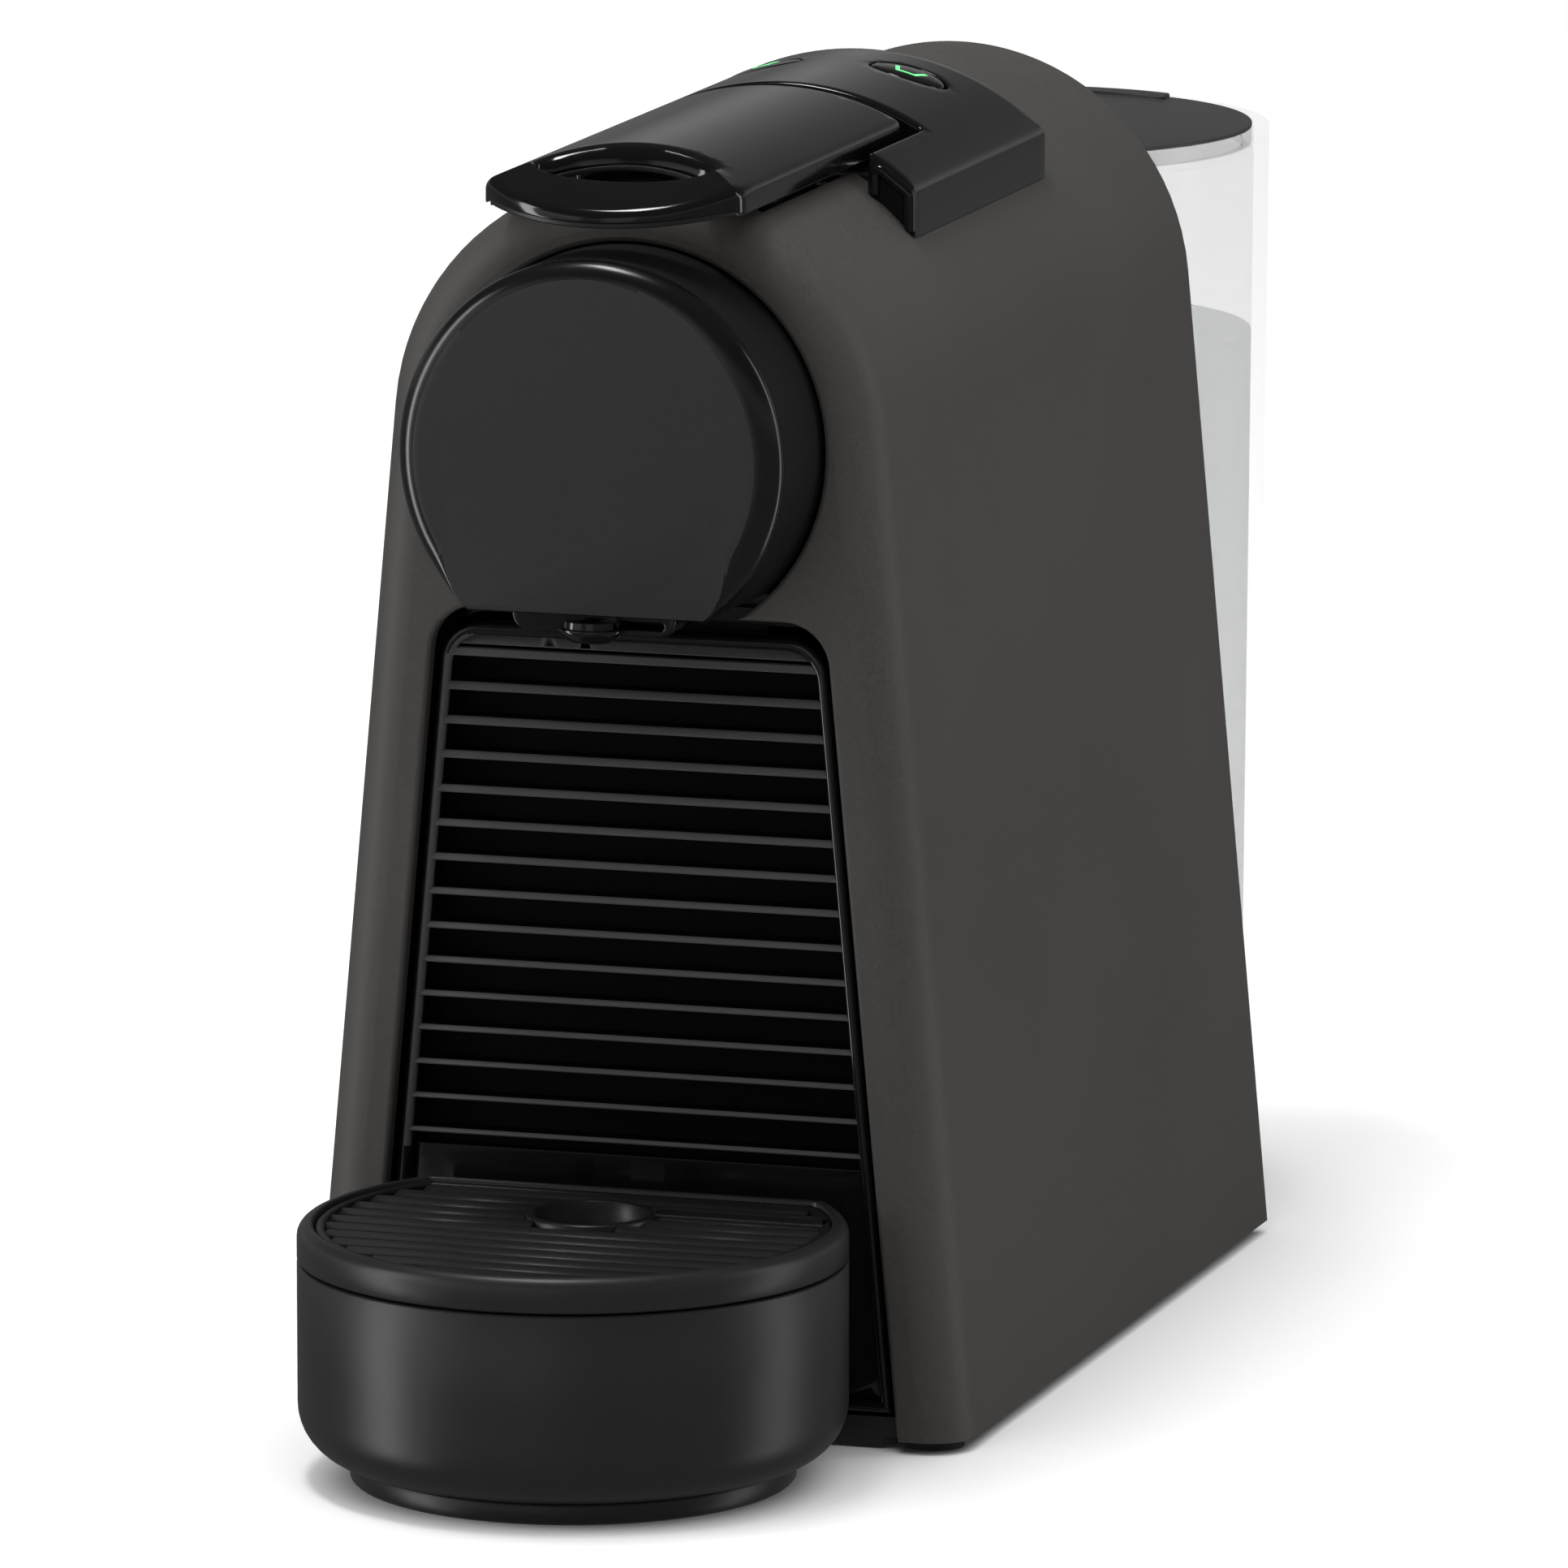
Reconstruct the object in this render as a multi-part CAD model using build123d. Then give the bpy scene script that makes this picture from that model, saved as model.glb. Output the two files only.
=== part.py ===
from build123d import *
import os
from math import atan2, acos, cos, degrees, hypot, radians, sin, sqrt

# A pod coffee machine. Millimetres, +Z up, the front faces -Y.
# Every piece is drawn with y = 0 on the front face of the shell; save() moves it
# so that the origin is under the middle of the whole machine.

# ---- driving dimensions ----
BASE_HALF = 55.0            # half the width of the shell at its lower edge
SHELL_BOTTOM = 2.0
SHELL_DEPTH = 178.3
SHELL_WALL = 2.5
ARCH_RADIUS = 40.5
ARCH_Z = 159.2              # height of the axis that the arch, saddle and lever share
FRONT_ROUND = 7.2
OPENING_ROUND = 0.8

SKIN_RADIUS = 46.0          # outer surface of saddle and lever
SKIN_THICK = 3.2
SADDLE_HALF = 31.3
SADDLE_BACK = 124.5
SADDLE_BAND = 80.3          # front edge of the cross band
WING_FRONT = 50.0
WING_INNER = 23.4

LEVER_HALF = 21.2
LEVER_BACK = 77.0
LEVER_CORNER = -7.0         # where the straight sides end
LEVER_APEX = -17.0
LOOP_Y = -2.0
LOOP_HALF_X = 14.6
LOOP_HALF_Y = 5.2
BAR_BOTTOM = 194.6
KEEL_RADIUS = 116.0         # the bow of the nose's underside
PIVOT_Y, PIVOT_Z = 60.0, 193.8
SHAFT_RADIUS = 2.0
SHAFT_HALF = 25.2
FIT = 0.06                  # radial clearance of the running fits

CRANK = 18.0                # pivot to knuckle
LINK = 26.0                 # knuckle to chamber pin
LINK_PIN_Z = 188.0
PIN_RADIUS = 2.0

CHAMBER_RADIUS = 17.0
CHAMBER_Z = 161.0
CHAMBER_FRONT = 6.0
CHAMBER_LENGTH = 26.0
SPIGOT_RADIUS = 4.0
SPIGOT_END = 66.0
FRAME_INNER = 19.5

DRUM_Z = 159.0
DRUM_BACK_RADIUS = 31.7
DRUM_RADIUS = 31.3
DRUM_SEAM = -17.9
DRUM_FACE = -21.6
DRUM_FLAT = 135.7
KEYHOLE_RADIUS = 32.07
KEYHOLE_Z = 158.3

PANEL_TOP = 131.5           # top of the drawer opening in the shell
PANEL_HALF_115 = 33.6       # its half width at z = 115
PANEL_SLOPE = 0.0919
RIB_COUNT = 15
RIB_TOP = 123.87
RIB_PITCH = 5.508
RIB_THICK = 1.15

TRAY_RADIUS = 43.0
TRAY_Y = -28.4
TRAY_BACK = -1.0
TRAY_SEAM = 35.0
TRAY_TOP = 40.5
GRID_RADIUS = 40.2
GRID_PITCH = 5.3
GRID_SLATS = 13
CUP_HOLE_Y = -19.4
CUP_HOLE_RADIUS = 8.7

TANK_Y = 212.0
TANK_RADIUS = 43.0
TANK_FOOT_RADIUS = 41.7
TANK_FRONT = 178.9
TANK_BOTTOM = 12.8
TANK_TOP = 181.5
TANK_WALL = 2.6
VALVE_Y = 200.0
OUTLET_Z = 8.5              # the dock's water outlet

BUTTON_X = 12.3
BUTTON_Y = 109.5
BUTTON_HALF = (6.4, 5.0)
BUTTON_GAP = 0.4

GLAND_RADIUS = 4.2
GLAND_X, GLAND_Z = -47.5, 14.0

ORIGIN_Y = (TRAY_Y - TRAY_RADIUS + TANK_Y + TANK_RADIUS) / 2


# ---- helpers ----
def save(name, shape):
    """Write one node, moved so that the origin is under the machine's middle."""
    export_step(Pos(0, -ORIGIN_Y, 0) * shape, f"parts/{name}.step")


def along_y(sketch, start, end):
    """Extrude a profile drawn in x and z between two values of y."""
    plane = Plane(origin=(0, end, 0), x_dir=(1, 0, 0), z_dir=(0, -1, 0))
    return extrude(plane * sketch, amount=end - start, dir=(0, -1, 0))


def along_z(sketch, bottom, top):
    """Extrude a profile drawn in x and y between two heights."""
    return extrude(Plane.XY.offset(bottom) * sketch, amount=top - bottom, dir=(0, 0, 1))


def along_x(sketch, start, end):
    """Extrude a profile drawn in y and z between two values of x."""
    plane = Plane(origin=(start, 0, 0), x_dir=(0, 1, 0), z_dir=(1, 0, 0))
    return extrude(plane * sketch, amount=end - start, dir=(1, 0, 0))


def block(x, y, z):
    """A box from three (low, high) pairs."""
    return Pos(x[0], y[0], z[0]) * Box(
        x[1] - x[0], y[1] - y[0], z[1] - z[0], align=(Align.MIN, Align.MIN, Align.MIN)
    )


def rod_x(radius, start, end, y, z):
    return along_x(Pos(y, z) * Circle(radius), start, end)


def rod_y(radius, start, end, x, z):
    return along_y(Pos(x, z) * Circle(radius), start, end)


def rod_z(radius, bottom, top, x, y):
    return along_z(Pos(x, y) * Circle(radius), bottom, top)


def tube(points, radii, outer, inner):
    """A hose of straight runs joined by tangent arcs."""
    path = FilletPolyline(*points, radius=radii)
    start = Plane(origin=path @ 0, z_dir=path % 0)
    return sweep(start * (Circle(outer) - Circle(inner)), path=path)


def group(pieces):
    """Several separate solids in one node."""
    return Compound(children=list(pieces))


def mirrored(shape):
    return [shape, mirror(shape, about=Plane.YZ)]


def arch(inset=0.0, drop=0.0):
    """The shell's section: straight sides that lean in and run tangent to the arch."""
    radius = ARCH_RADIUS - inset
    foot_x = BASE_HALF - inset
    foot_z = SHELL_BOTTOM - drop
    reach = hypot(foot_x, ARCH_Z - foot_z)
    lean = acos(radius / reach) + atan2(foot_z - ARCH_Z, foot_x)
    side_x = radius * cos(lean)
    side_z = ARCH_Z + radius * sin(lean)
    outline = [
        Line((-foot_x, foot_z), (foot_x, foot_z)),
        Line((foot_x, foot_z), (side_x, side_z)),
        ThreePointArc((side_x, side_z), (0, ARCH_Z + radius), (-side_x, side_z)),
        Line((-side_x, side_z), (-foot_x, foot_z)),
    ]
    return make_face(outline)


def drum_section(radius, flat, centre_z=DRUM_Z):
    """A disc with a flat bottom."""
    disc = Pos(0, centre_z) * Circle(radius)
    return disc & Pos(0, flat + 50) * Rectangle(200, 100)


def panel_half(z):
    """Half the width of the drawer opening at a height."""
    return PANEL_HALF_115 + PANEL_SLOPE * (115 - z)


def panel_section(gap, bottom, top, corner):
    """The drawer opening's outline, a gap inside the shell's edge."""
    low = panel_half(bottom) - gap
    high = panel_half(top) - gap
    outline = Polygon((-low, bottom), (low, bottom), (high, top), (-high, top), align=None)
    return fillet(outline.vertices().sort_by(Axis.Y)[2:], corner)


def tank_section(radius, front):
    """A disc cut flat where it faces the shell."""
    half = (radius**2 - (TANK_Y - front) ** 2) ** 0.5
    outline = [
        Line((-half, front), (half, front)),
        ThreePointArc((half, front), (0, TANK_Y + radius), (-half, front)),
    ]
    return make_face(outline)


def skin(inner, outer, start, end):
    """A length of the cylinder that the saddle and lever are cut from."""
    ring = Pos(0, ARCH_Z) * (Circle(outer) - Circle(inner)) if inner else Pos(0, ARCH_Z) * Circle(outer)
    return along_y(ring, start, end)


# ---- the body: shell, chassis and dock ----
def on_opening(edge):
    """Whether an edge of the shell lies in its front face, round the keyhole or the drawer opening."""
    middle = edge.center()
    return middle.Y < 0.01 and abs(middle.X) < 40 and middle.Z < 191


def outer_shell():
    solid = along_y(arch(), 0, SHELL_DEPTH)
    front_edges = solid.faces().sort_by(Axis.Y)[0].edges()
    front_edges = front_edges.filter_by(lambda e: e.center().Z > SHELL_BOTTOM + 1)
    solid = fillet(front_edges, FRONT_ROUND)
    back_edges = solid.faces().sort_by(Axis.Y)[-1].edges()
    back_edges = back_edges.filter_by(lambda e: e.center().Z > SHELL_BOTTOM + 1)
    solid = fillet(back_edges, 1.0)
    hollow = along_y(arch(SHELL_WALL, 10), SHELL_WALL, SHELL_DEPTH - SHELL_WALL)
    hollow_front = hollow.faces().sort_by(Axis.Y)[0].edges()
    hollow_front = hollow_front.filter_by(lambda e: e.center().Z > SHELL_BOTTOM + 1)
    solid -= fillet(hollow_front, FRONT_ROUND - SHELL_WALL)

    drum_hole = Pos(0, KEYHOLE_Z) * Circle(KEYHOLE_RADIUS)
    neck = Polygon(
        (-22.7, 135.7), (-15.6, 132.3), (-15.6, 120), (15.6, 120), (15.6, 132.3), (22.7, 135.7),
        align=None,
    )
    for opening in (drum_hole, neck, panel_section(0, SHELL_BOTTOM - 5, PANEL_TOP, 7.5)):
        solid -= along_y(opening, -5, 9)
    solid = fillet(solid.edges().filter_by(on_opening), OPENING_ROUND)

    capsule_slot = block((-19.4, 19.4), (8, 57), (170, 220))
    lever_slot = block((-22.3, 22.3), (56, 80.8), (170, 220))
    button_window = block((-20, 20), (100, 119), (185, 220))
    dock_passage = block((-40.5, 40.5), (170, 190), (-5, 12.3))
    bush_notches = block((-26, 26), (56, 64), (180, 220))
    gland_hole = rod_y(GLAND_RADIUS, 170, 190, GLAND_X, GLAND_Z)
    openings = [capsule_slot, lever_slot, button_window, bush_notches, dock_passage, gland_hole]
    return solid - openings


def chassis_base():
    floor = block((-50.6, 50.6), (3, 175.4), (SHELL_BOTTOM, 5.2))
    floor = fillet(floor.edges().filter_by(Axis.Z), 5)
    keel = block((-42.5, 42.5), (3, 175.4), (0.4, SHELL_BOTTOM))
    keel = chamfer(keel.edges().filter_by(Axis.Z).sort_by(Axis.Y)[:2], 1.6)
    rails = mirrored(block((43.2, 45.2), (12, 100), (5.2, 16)))
    bosses = [rod_z(3.2, 5.2, 12, x, y) for x in (-46.8, 46.8) for y in (112, 168)]
    base = floor + keel + rails + bosses
    holes = [rod_z(1.3, 6, 13, x, y) for x in (-46.8, 46.8) for y in (112, 168)]
    return base - holes


def rubber_feet():
    return group(rod_z(4.9, 0, SHELL_BOTTOM, x, y) for x in (-47.6, 47.6) for y in (8.5, 168))


def tank_dock():
    plate = along_z(tank_section(39.6, 175.6), 0.4, 12.2)
    plate += block((-27, 27), (175.6, TANK_Y), (0.4, 12.2))
    plate = fillet(plate.edges().group_by(Axis.Z)[-1], 1.0)
    seat_bore = rod_z(9, 0, 20, 0, VALVE_Y)
    return plate - seat_bore - rod_y(2.3, 170, 192, 0, OUTLET_Z)


def dock_valve_seat():
    cup = rod_z(8.9, 3, 12.2, 0, VALVE_Y) - rod_z(6.7, 6, 13, 0, VALVE_Y)
    pin = rod_z(1.4, 6, 9.6, 0, VALVE_Y)
    outlet = rod_y(2.2, 172, 192, 0, OUTLET_Z)
    return cup + outlet - rod_y(1.2, 170, 196, 0, OUTLET_Z) + pin


def dock_seal():
    return rod_z(6.6, 6, 7.4, 0, VALVE_Y) - rod_z(3.4, 5, 8, 0, VALVE_Y)


def panel_frame():
    """The black surround that the drawer slides through, behind the shell's edge."""
    outer = panel_section(-3.5, 6, PANEL_TOP + 3, 8)
    inner = panel_section(0.1, 0, PANEL_TOP - 2.2, 6.5)
    neck = Pos(0, 134) * Rectangle(46, 4)
    return along_y(outer - inner - neck, 9.2, 11.2)


# ---- the drum, spout and brewing unit that stay still ----
def drum_sleeve():
    back = Plane(origin=(0, 4, 0), x_dir=(1, 0, 0), z_dir=(0, -1, 0))
    front = Plane(origin=(0, DRUM_SEAM, 0), x_dir=(1, 0, 0), z_dir=(0, -1, 0))
    outside = loft([
        back * drum_section(DRUM_BACK_RADIUS, DRUM_FLAT, KEYHOLE_Z),
        front * drum_section(DRUM_RADIUS - 0.1, DRUM_FLAT),
    ])
    inside = along_y(drum_section(DRUM_RADIUS - 2.4, DRUM_FLAT + 2), -30, 10)
    spout_hole = block((-7, 7), (DRUM_SEAM + 1.5, -4), (130, 140))
    return outside - inside - spout_hole


def drum_cap():
    cap = along_y(drum_section(DRUM_RADIUS, DRUM_FLAT - 1.2), DRUM_FACE, DRUM_SEAM)
    cap = fillet(cap.faces().sort_by(Axis.Y)[0].edges(), 3.2)
    lip = along_y(drum_section(DRUM_RADIUS - 2.6, DRUM_FLAT + 2.2), DRUM_SEAM, DRUM_SEAM + 4)
    lip -= along_y(drum_section(DRUM_RADIUS - 4.4, DRUM_FLAT + 4), DRUM_SEAM, DRUM_SEAM + 5)
    return cap + lip


def spout_plate():
    plate = block((-13.4, 13.4), (DRUM_SEAM + 0.3, -3), (131.2, DRUM_FLAT - 0.05))
    plate = fillet(plate.edges().filter_by(Axis.Y).group_by(Axis.Z)[0], 3.0)
    return plate - rod_z(3.2, 125, 140, 0, -12)


def coffee_nozzle():
    """A flared boat under the front of the spout plate, with a short neck behind the drum's edge."""
    lower = Plane.XY.offset(130.3) * (Pos(0, -18.8) * Ellipse(3.5, 2.5))
    upper = Plane.XY.offset(132.3) * (Pos(0, -18.8) * Ellipse(5.0, 3.6))
    boat = loft([lower, upper]) + along_z(Pos(0, -18.8) * Ellipse(4.4, 3.3), 132.3, 133.6)
    boat -= block((-20, 20), (DRUM_SEAM + 0.25, 0), (131.15, 140))
    return boat - along_z(Pos(0, -18.8) * Ellipse(2.2, 1.5), 120, 131.8)


def coffee_funnel():
    body = block((-11, 11), (-13.7, -3.2), (138.2, 150))
    body = fillet(body.edges().filter_by(Axis.Y), 3)
    channel = rod_z(2.4, 130, 146, 0, -9.5)
    inlet = rod_y(2.4, -9.5, 0, 0, 145)
    return body - channel - inlet


def piercing_plate():
    plate = rod_y(19, 0, 4, 0, CHAMBER_Z)
    spikes = [
        Pos(x, 4.9, CHAMBER_Z + z) * Box(1.6, 1.8, 1.6)
        for x in (-8, 0, 8) for z in (-8, 0, 8)
    ]
    drain = rod_y(1.5, -1, 5, 0, CHAMBER_Z - 14)
    return plate + spikes - drain


def brew_frame():
    side = block((FRAME_INNER, FRAME_INNER + 2.5), (4.6, 94), (143, 174))
    side -= block((10, 30), (14, 48), (150, 168))
    floor = block((-FRAME_INNER, FRAME_INNER), (57, 94), (143, 145.6))
    return floor + mirrored(side)


def guide_block():
    body = block((-19.4, 19.4), (57, 92), (145.6, 172.5))
    body = fillet(body.edges().filter_by(Axis.Y).group_by(Axis.Z)[-1], 6)
    body -= rod_y(SPIGOT_RADIUS + FIT, 50, 90, 0, CHAMBER_Z)
    fitting = rod_y(3.2, 92, 98, 0, CHAMBER_Z) - rod_y(1.5, 80, 100, 0, CHAMBER_Z)
    return body - rod_y(1.5, 80, 100, 0, CHAMBER_Z) + fitting


def capsule_chute():
    outer = block((-19.2, 19.2), (11.4, 44), (117.6, 142.6))
    return outer - block((-17.6, 17.6), (13, 42.4), (110, 150))


# ---- the control saddle, its board and the buttons ----
def saddle_plan():
    """A cross band with two wings that reach forward beside the lever."""
    return Polygon(
        (-SADDLE_HALF, WING_FRONT), (-WING_INNER, WING_FRONT), (-WING_INNER, SADDLE_BAND),
        (WING_INNER, SADDLE_BAND), (WING_INNER, WING_FRONT), (SADDLE_HALF, WING_FRONT),
        (SADDLE_HALF, SADDLE_BACK), (-SADDLE_HALF, SADDLE_BACK), align=None,
    )


def button_place(side):
    """The frame of one button: its z axis points out of the saddle."""
    tilt = degrees(atan2(BUTTON_X, sqrt(SKIN_RADIUS**2 - BUTTON_X**2)))
    return Pos(0, BUTTON_Y, ARCH_Z) * Rot(0, side * tilt, 0)


def control_saddle():
    plan = along_z(saddle_plan(), 170, 215)
    wrap = skin(ARCH_RADIUS + 0.1, SKIN_RADIUS, WING_FRONT - 5, SADDLE_BACK + 5)
    saddle = plan & wrap & block((-40, 40), (0, 200), (180, 215))
    inner = skin(0, SKIN_RADIUS - SKIN_THICK, SADDLE_BAND + 2.2, SADDLE_BACK - 2.2)
    saddle -= inner & block((-19.4, 19.4), (0, 200), (180, 215))
    for side in (-1, 1):
        hole = extrude(Ellipse(BUTTON_HALF[0] + BUTTON_GAP, BUTTON_HALF[1] + BUTTON_GAP), amount=60)
        saddle -= button_place(side) * hole
    bore = rod_x(SHAFT_RADIUS + 1.0, -SHAFT_HALF - 0.3, SHAFT_HALF + 0.3, PIVOT_Y, PIVOT_Z)
    return saddle - (bore & block((-40, 40), (PIVOT_Y - 5, PIVOT_Y + 5), (180, 197.6)))


def pivot_bushes():
    bush = rod_x(SHAFT_RADIUS + 0.95, WING_INNER, SHAFT_HALF + 0.2, PIVOT_Y, PIVOT_Z)
    return group(mirrored(bush - rod_x(SHAFT_RADIUS + FIT, 0, 40, PIVOT_Y, PIVOT_Z)))


def button_cap(side):
    shaft = extrude(Ellipse(*BUTTON_HALF), amount=SKIN_RADIUS + 5)
    cap = button_place(side) * shaft
    cap &= skin(SKIN_RADIUS - 3.4, SKIN_RADIUS, 90, 130)
    recess = button_place(side) * Pos(0, 0, SKIN_RADIUS - 0.5) * Box(5, 4, 3)
    stem = button_place(side) * Pos(0, 0, SKIN_RADIUS - 7.6) * Cylinder(1.4, 9)
    return cap + stem - recess


def button_icon(side):
    lens = button_place(side) * Pos(0, 0, SKIN_RADIUS - 1.0) * Box(4.9, 3.9, 1.9)
    return lens & skin(0, SKIN_RADIUS, 90, 130)


def button_board():
    board = block((-17.5, 17.5), (101, 118), (187.0, 188.6))
    switches = []
    for side in (-1, 1):
        centre_x = side * 9.4
        switches.append(block((centre_x - 2.6, centre_x + 2.6), (106.9, 112.1), (188.6, 190.6)))
    return board + switches


# ---- the lever, its links and the moving chamber ----
def lever_plan():
    """Parallel sides and a bowed front edge."""
    outline = [
        Line((-LEVER_HALF, LEVER_BACK), (LEVER_HALF, LEVER_BACK)),
        Line((LEVER_HALF, LEVER_BACK), (LEVER_HALF, LEVER_CORNER)),
        ThreePointArc((LEVER_HALF, LEVER_CORNER), (0, LEVER_APEX), (-LEVER_HALF, LEVER_CORNER)),
        Line((-LEVER_HALF, LEVER_CORNER), (-LEVER_HALF, LEVER_BACK)),
    ]
    return make_face(outline)


def lever_plate():
    body = along_z(lever_plan(), 185, 210) & skin(0, SKIN_RADIUS, -30, 90)
    underside = skin(0, SKIN_RADIUS - SKIN_THICK, LEVER_CORNER + 2, 90)
    body -= underside
    keel = along_y(Pos(0, BAR_BOTTOM + KEEL_RADIUS) * Circle(KEEL_RADIUS), -31, 0)
    body -= block((-30, 30), (-30, LEVER_CORNER + 3), (180, 197)) - keel
    bevel = Polygon((5.5, 205.6), (-40, 188.9), (-40, 230), (5.5, 230), align=None)
    body -= along_x(bevel, -30, 30)
    back_round = Polygon((75.2, 210), (80, 210), (80, 203.2), (77, 203.2), (75.2, 205.4), align=None)
    body -= along_x(back_round, -30, 30)
    body -= along_z(Pos(0, LOOP_Y) * Ellipse(LOOP_HALF_X, LOOP_HALF_Y), 180, 220)
    return body


def knuckle():
    """The crank pin's place with the lever closed, on the line to the chamber pin."""
    drop = PIVOT_Z - LINK_PIN_Z
    run = sqrt((CRANK + LINK) ** 2 - drop**2)
    part = CRANK / (CRANK + LINK)
    return PIVOT_Y - run * part, PIVOT_Z - drop * part, PIVOT_Y - run


KNUCKLE_Y, KNUCKLE_Z, LINK_PIN_Y = knuckle()


def arm(y0, z0, y1, z1, radius):
    """A flat link's outline, round at both ends."""
    length = hypot(y1 - y0, z1 - z0)
    turn = degrees(atan2(z1 - z0, y1 - y0))
    middle = Pos((y0 + y1) / 2, (z0 + z1) / 2) * Rot(0, 0, turn)
    return middle * SlotCenterToCenter(length, 2 * radius)


def lever_yoke():
    """Two crank arms, clamped on the shaft and screwed up under the plate."""
    pad = skin(0, SKIN_RADIUS - SKIN_THICK - 0.02, 46, 66)
    yoke = pad & block((-13.0, 13.0), (50, 56), (199.2, 210))
    for start in (-13.0, 9.4):
        yoke += pad & block((start, start + 3.6), (46, 66), (PIVOT_Z, 210))
        yoke += along_x(arm(PIVOT_Y, PIVOT_Z, KNUCKLE_Y, KNUCKLE_Z, 4.2), start, start + 3.6)
    yoke -= rod_x(SHAFT_RADIUS, -30, 30, PIVOT_Y, PIVOT_Z)
    return yoke - rod_x(PIN_RADIUS + 0.02, -30, 30, KNUCKLE_Y, KNUCKLE_Z)


def lever_shaft():
    return rod_x(SHAFT_RADIUS, -SHAFT_HALF, SHAFT_HALF, PIVOT_Y, PIVOT_Z)


def crank_pin():
    return rod_x(PIN_RADIUS, -13.0, 13.0, KNUCKLE_Y, KNUCKLE_Z)


def toggle_links():
    link = along_x(arm(KNUCKLE_Y, KNUCKLE_Z, LINK_PIN_Y, LINK_PIN_Z, 3.8), 5.4, 8.6)
    link -= rod_x(PIN_RADIUS + FIT, 0, 20, KNUCKLE_Y, KNUCKLE_Z)
    link -= rod_x(PIN_RADIUS, 0, 20, LINK_PIN_Y, LINK_PIN_Z)
    return group(mirrored(link))


def link_pin():
    return rod_x(PIN_RADIUS, -8.6, 8.6, LINK_PIN_Y, LINK_PIN_Z)


def chamber_body():
    end = CHAMBER_FRONT + CHAMBER_LENGTH
    barrel = rod_y(CHAMBER_RADIUS, CHAMBER_FRONT, end, 0, CHAMBER_Z)
    lug = block((-4.8, 4.8), (LINK_PIN_Y - 10, LINK_PIN_Y + 5), (CHAMBER_Z + 10, LINK_PIN_Z + 4.4))
    slot_back = LINK_PIN_Y + PIN_RADIUS + 0.4
    slot_front = LINK_PIN_Y - PIN_RADIUS - 5.5
    slot = block((-10, 10), (slot_front, slot_back), (LINK_PIN_Z - 2.7, LINK_PIN_Z + 2.7))
    cavity = rod_y(14.6, 0, end - 4, 0, CHAMBER_Z)
    seat = rod_y(15.6, 0, CHAMBER_FRONT + 1.2, 0, CHAMBER_Z)
    return barrel + lug - slot - cavity - seat - rod_y(2.0, 0, 60, 0, CHAMBER_Z)


def chamber_seal():
    front = CHAMBER_FRONT - 0.9
    return rod_y(15.5, front, CHAMBER_FRONT + 1.2, 0, CHAMBER_Z) - rod_y(
        14.7, front - 1, 20, 0, CHAMBER_Z
    )


def chamber_spigot():
    end = CHAMBER_FRONT + CHAMBER_LENGTH
    rod = rod_y(SPIGOT_RADIUS, end, SPIGOT_END, 0, CHAMBER_Z)
    return rod - rod_y(1.4, 0, 100, 0, CHAMBER_Z)


def needle_plate():
    end = CHAMBER_FRONT + CHAMBER_LENGTH - 4
    plate = rod_y(9, end - 1.4, end, 0, CHAMBER_Z) - rod_y(1.2, 0, 60, 0, CHAMBER_Z)
    needles = [
        Pos(6 * cos(radians(a)), end - 3.4, CHAMBER_Z + 6 * sin(radians(a))) * Box(1.2, 4.2, 1.2)
        for a in (90, 210, 330)
    ]
    return plate + needles


# ---- drawer, tray and grid ----
def louvre_panel():
    back = along_y(panel_section(1.0, 5.8, 128.6, 6.5), 6.2, 8.4)
    inner = panel_section(2.4, 43.6, 126.4, 5.5)
    frame = along_y(panel_section(1.0, 5.8, 128.6, 6.5) - inner, 2.0, 6.2)
    frame -= block((-60, 60), (0, 4.4), (0, 42.4))
    panel = back + frame
    for row in range(RIB_COUNT):
        z = RIB_TOP - row * RIB_PITCH
        half = panel_half(z) - 2.3
        panel += block((-half, half), (2.1, 6.3), (z - RIB_THICK / 2, z + RIB_THICK / 2))
    return panel


def capsule_bin():
    outer = Polygon((-35.5, 43.2), (35.5, 43.2), (29.5, 115.6), (-29.5, 115.6), align=None)
    inner = Polygon((-33.8, 45), (33.8, 45), (27.4, 120), (-27.4, 120), align=None)
    return along_y(outer, 8.5, 92) - along_y(inner, 10.3, 90.2)


def drawer_base():
    outer = block((-38.5, 38.5), (8.5, 95), (5.6, 43.1))
    return outer - block((-36.7, 36.7), (10.3, 93.2), (7.6, 50))


def tray_cut(low, high):
    return block((-60, 60), (-100, TRAY_BACK), (low, high))


def tray_bowl():
    outside = rod_z(TRAY_RADIUS, 3.5, TRAY_SEAM - 0.35, 0, TRAY_Y)
    outside = fillet(outside.edges().group_by(Axis.Z)[0], 8.5)
    foot = rod_z(34.9, 0, 4.0, 0, TRAY_Y)
    foot = chamfer(foot.edges().group_by(Axis.Z)[0], 0.6)
    bowl = (outside + foot) & tray_cut(0, 50)
    inside = rod_z(TRAY_RADIUS - 2.4, 6.5, 40, 0, TRAY_Y)
    inside = fillet(inside.edges().group_by(Axis.Z)[0], 8.0)
    inside &= block((-60, 60), (-100, TRAY_BACK - 2.4), (0, 50))
    return bowl - inside


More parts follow.
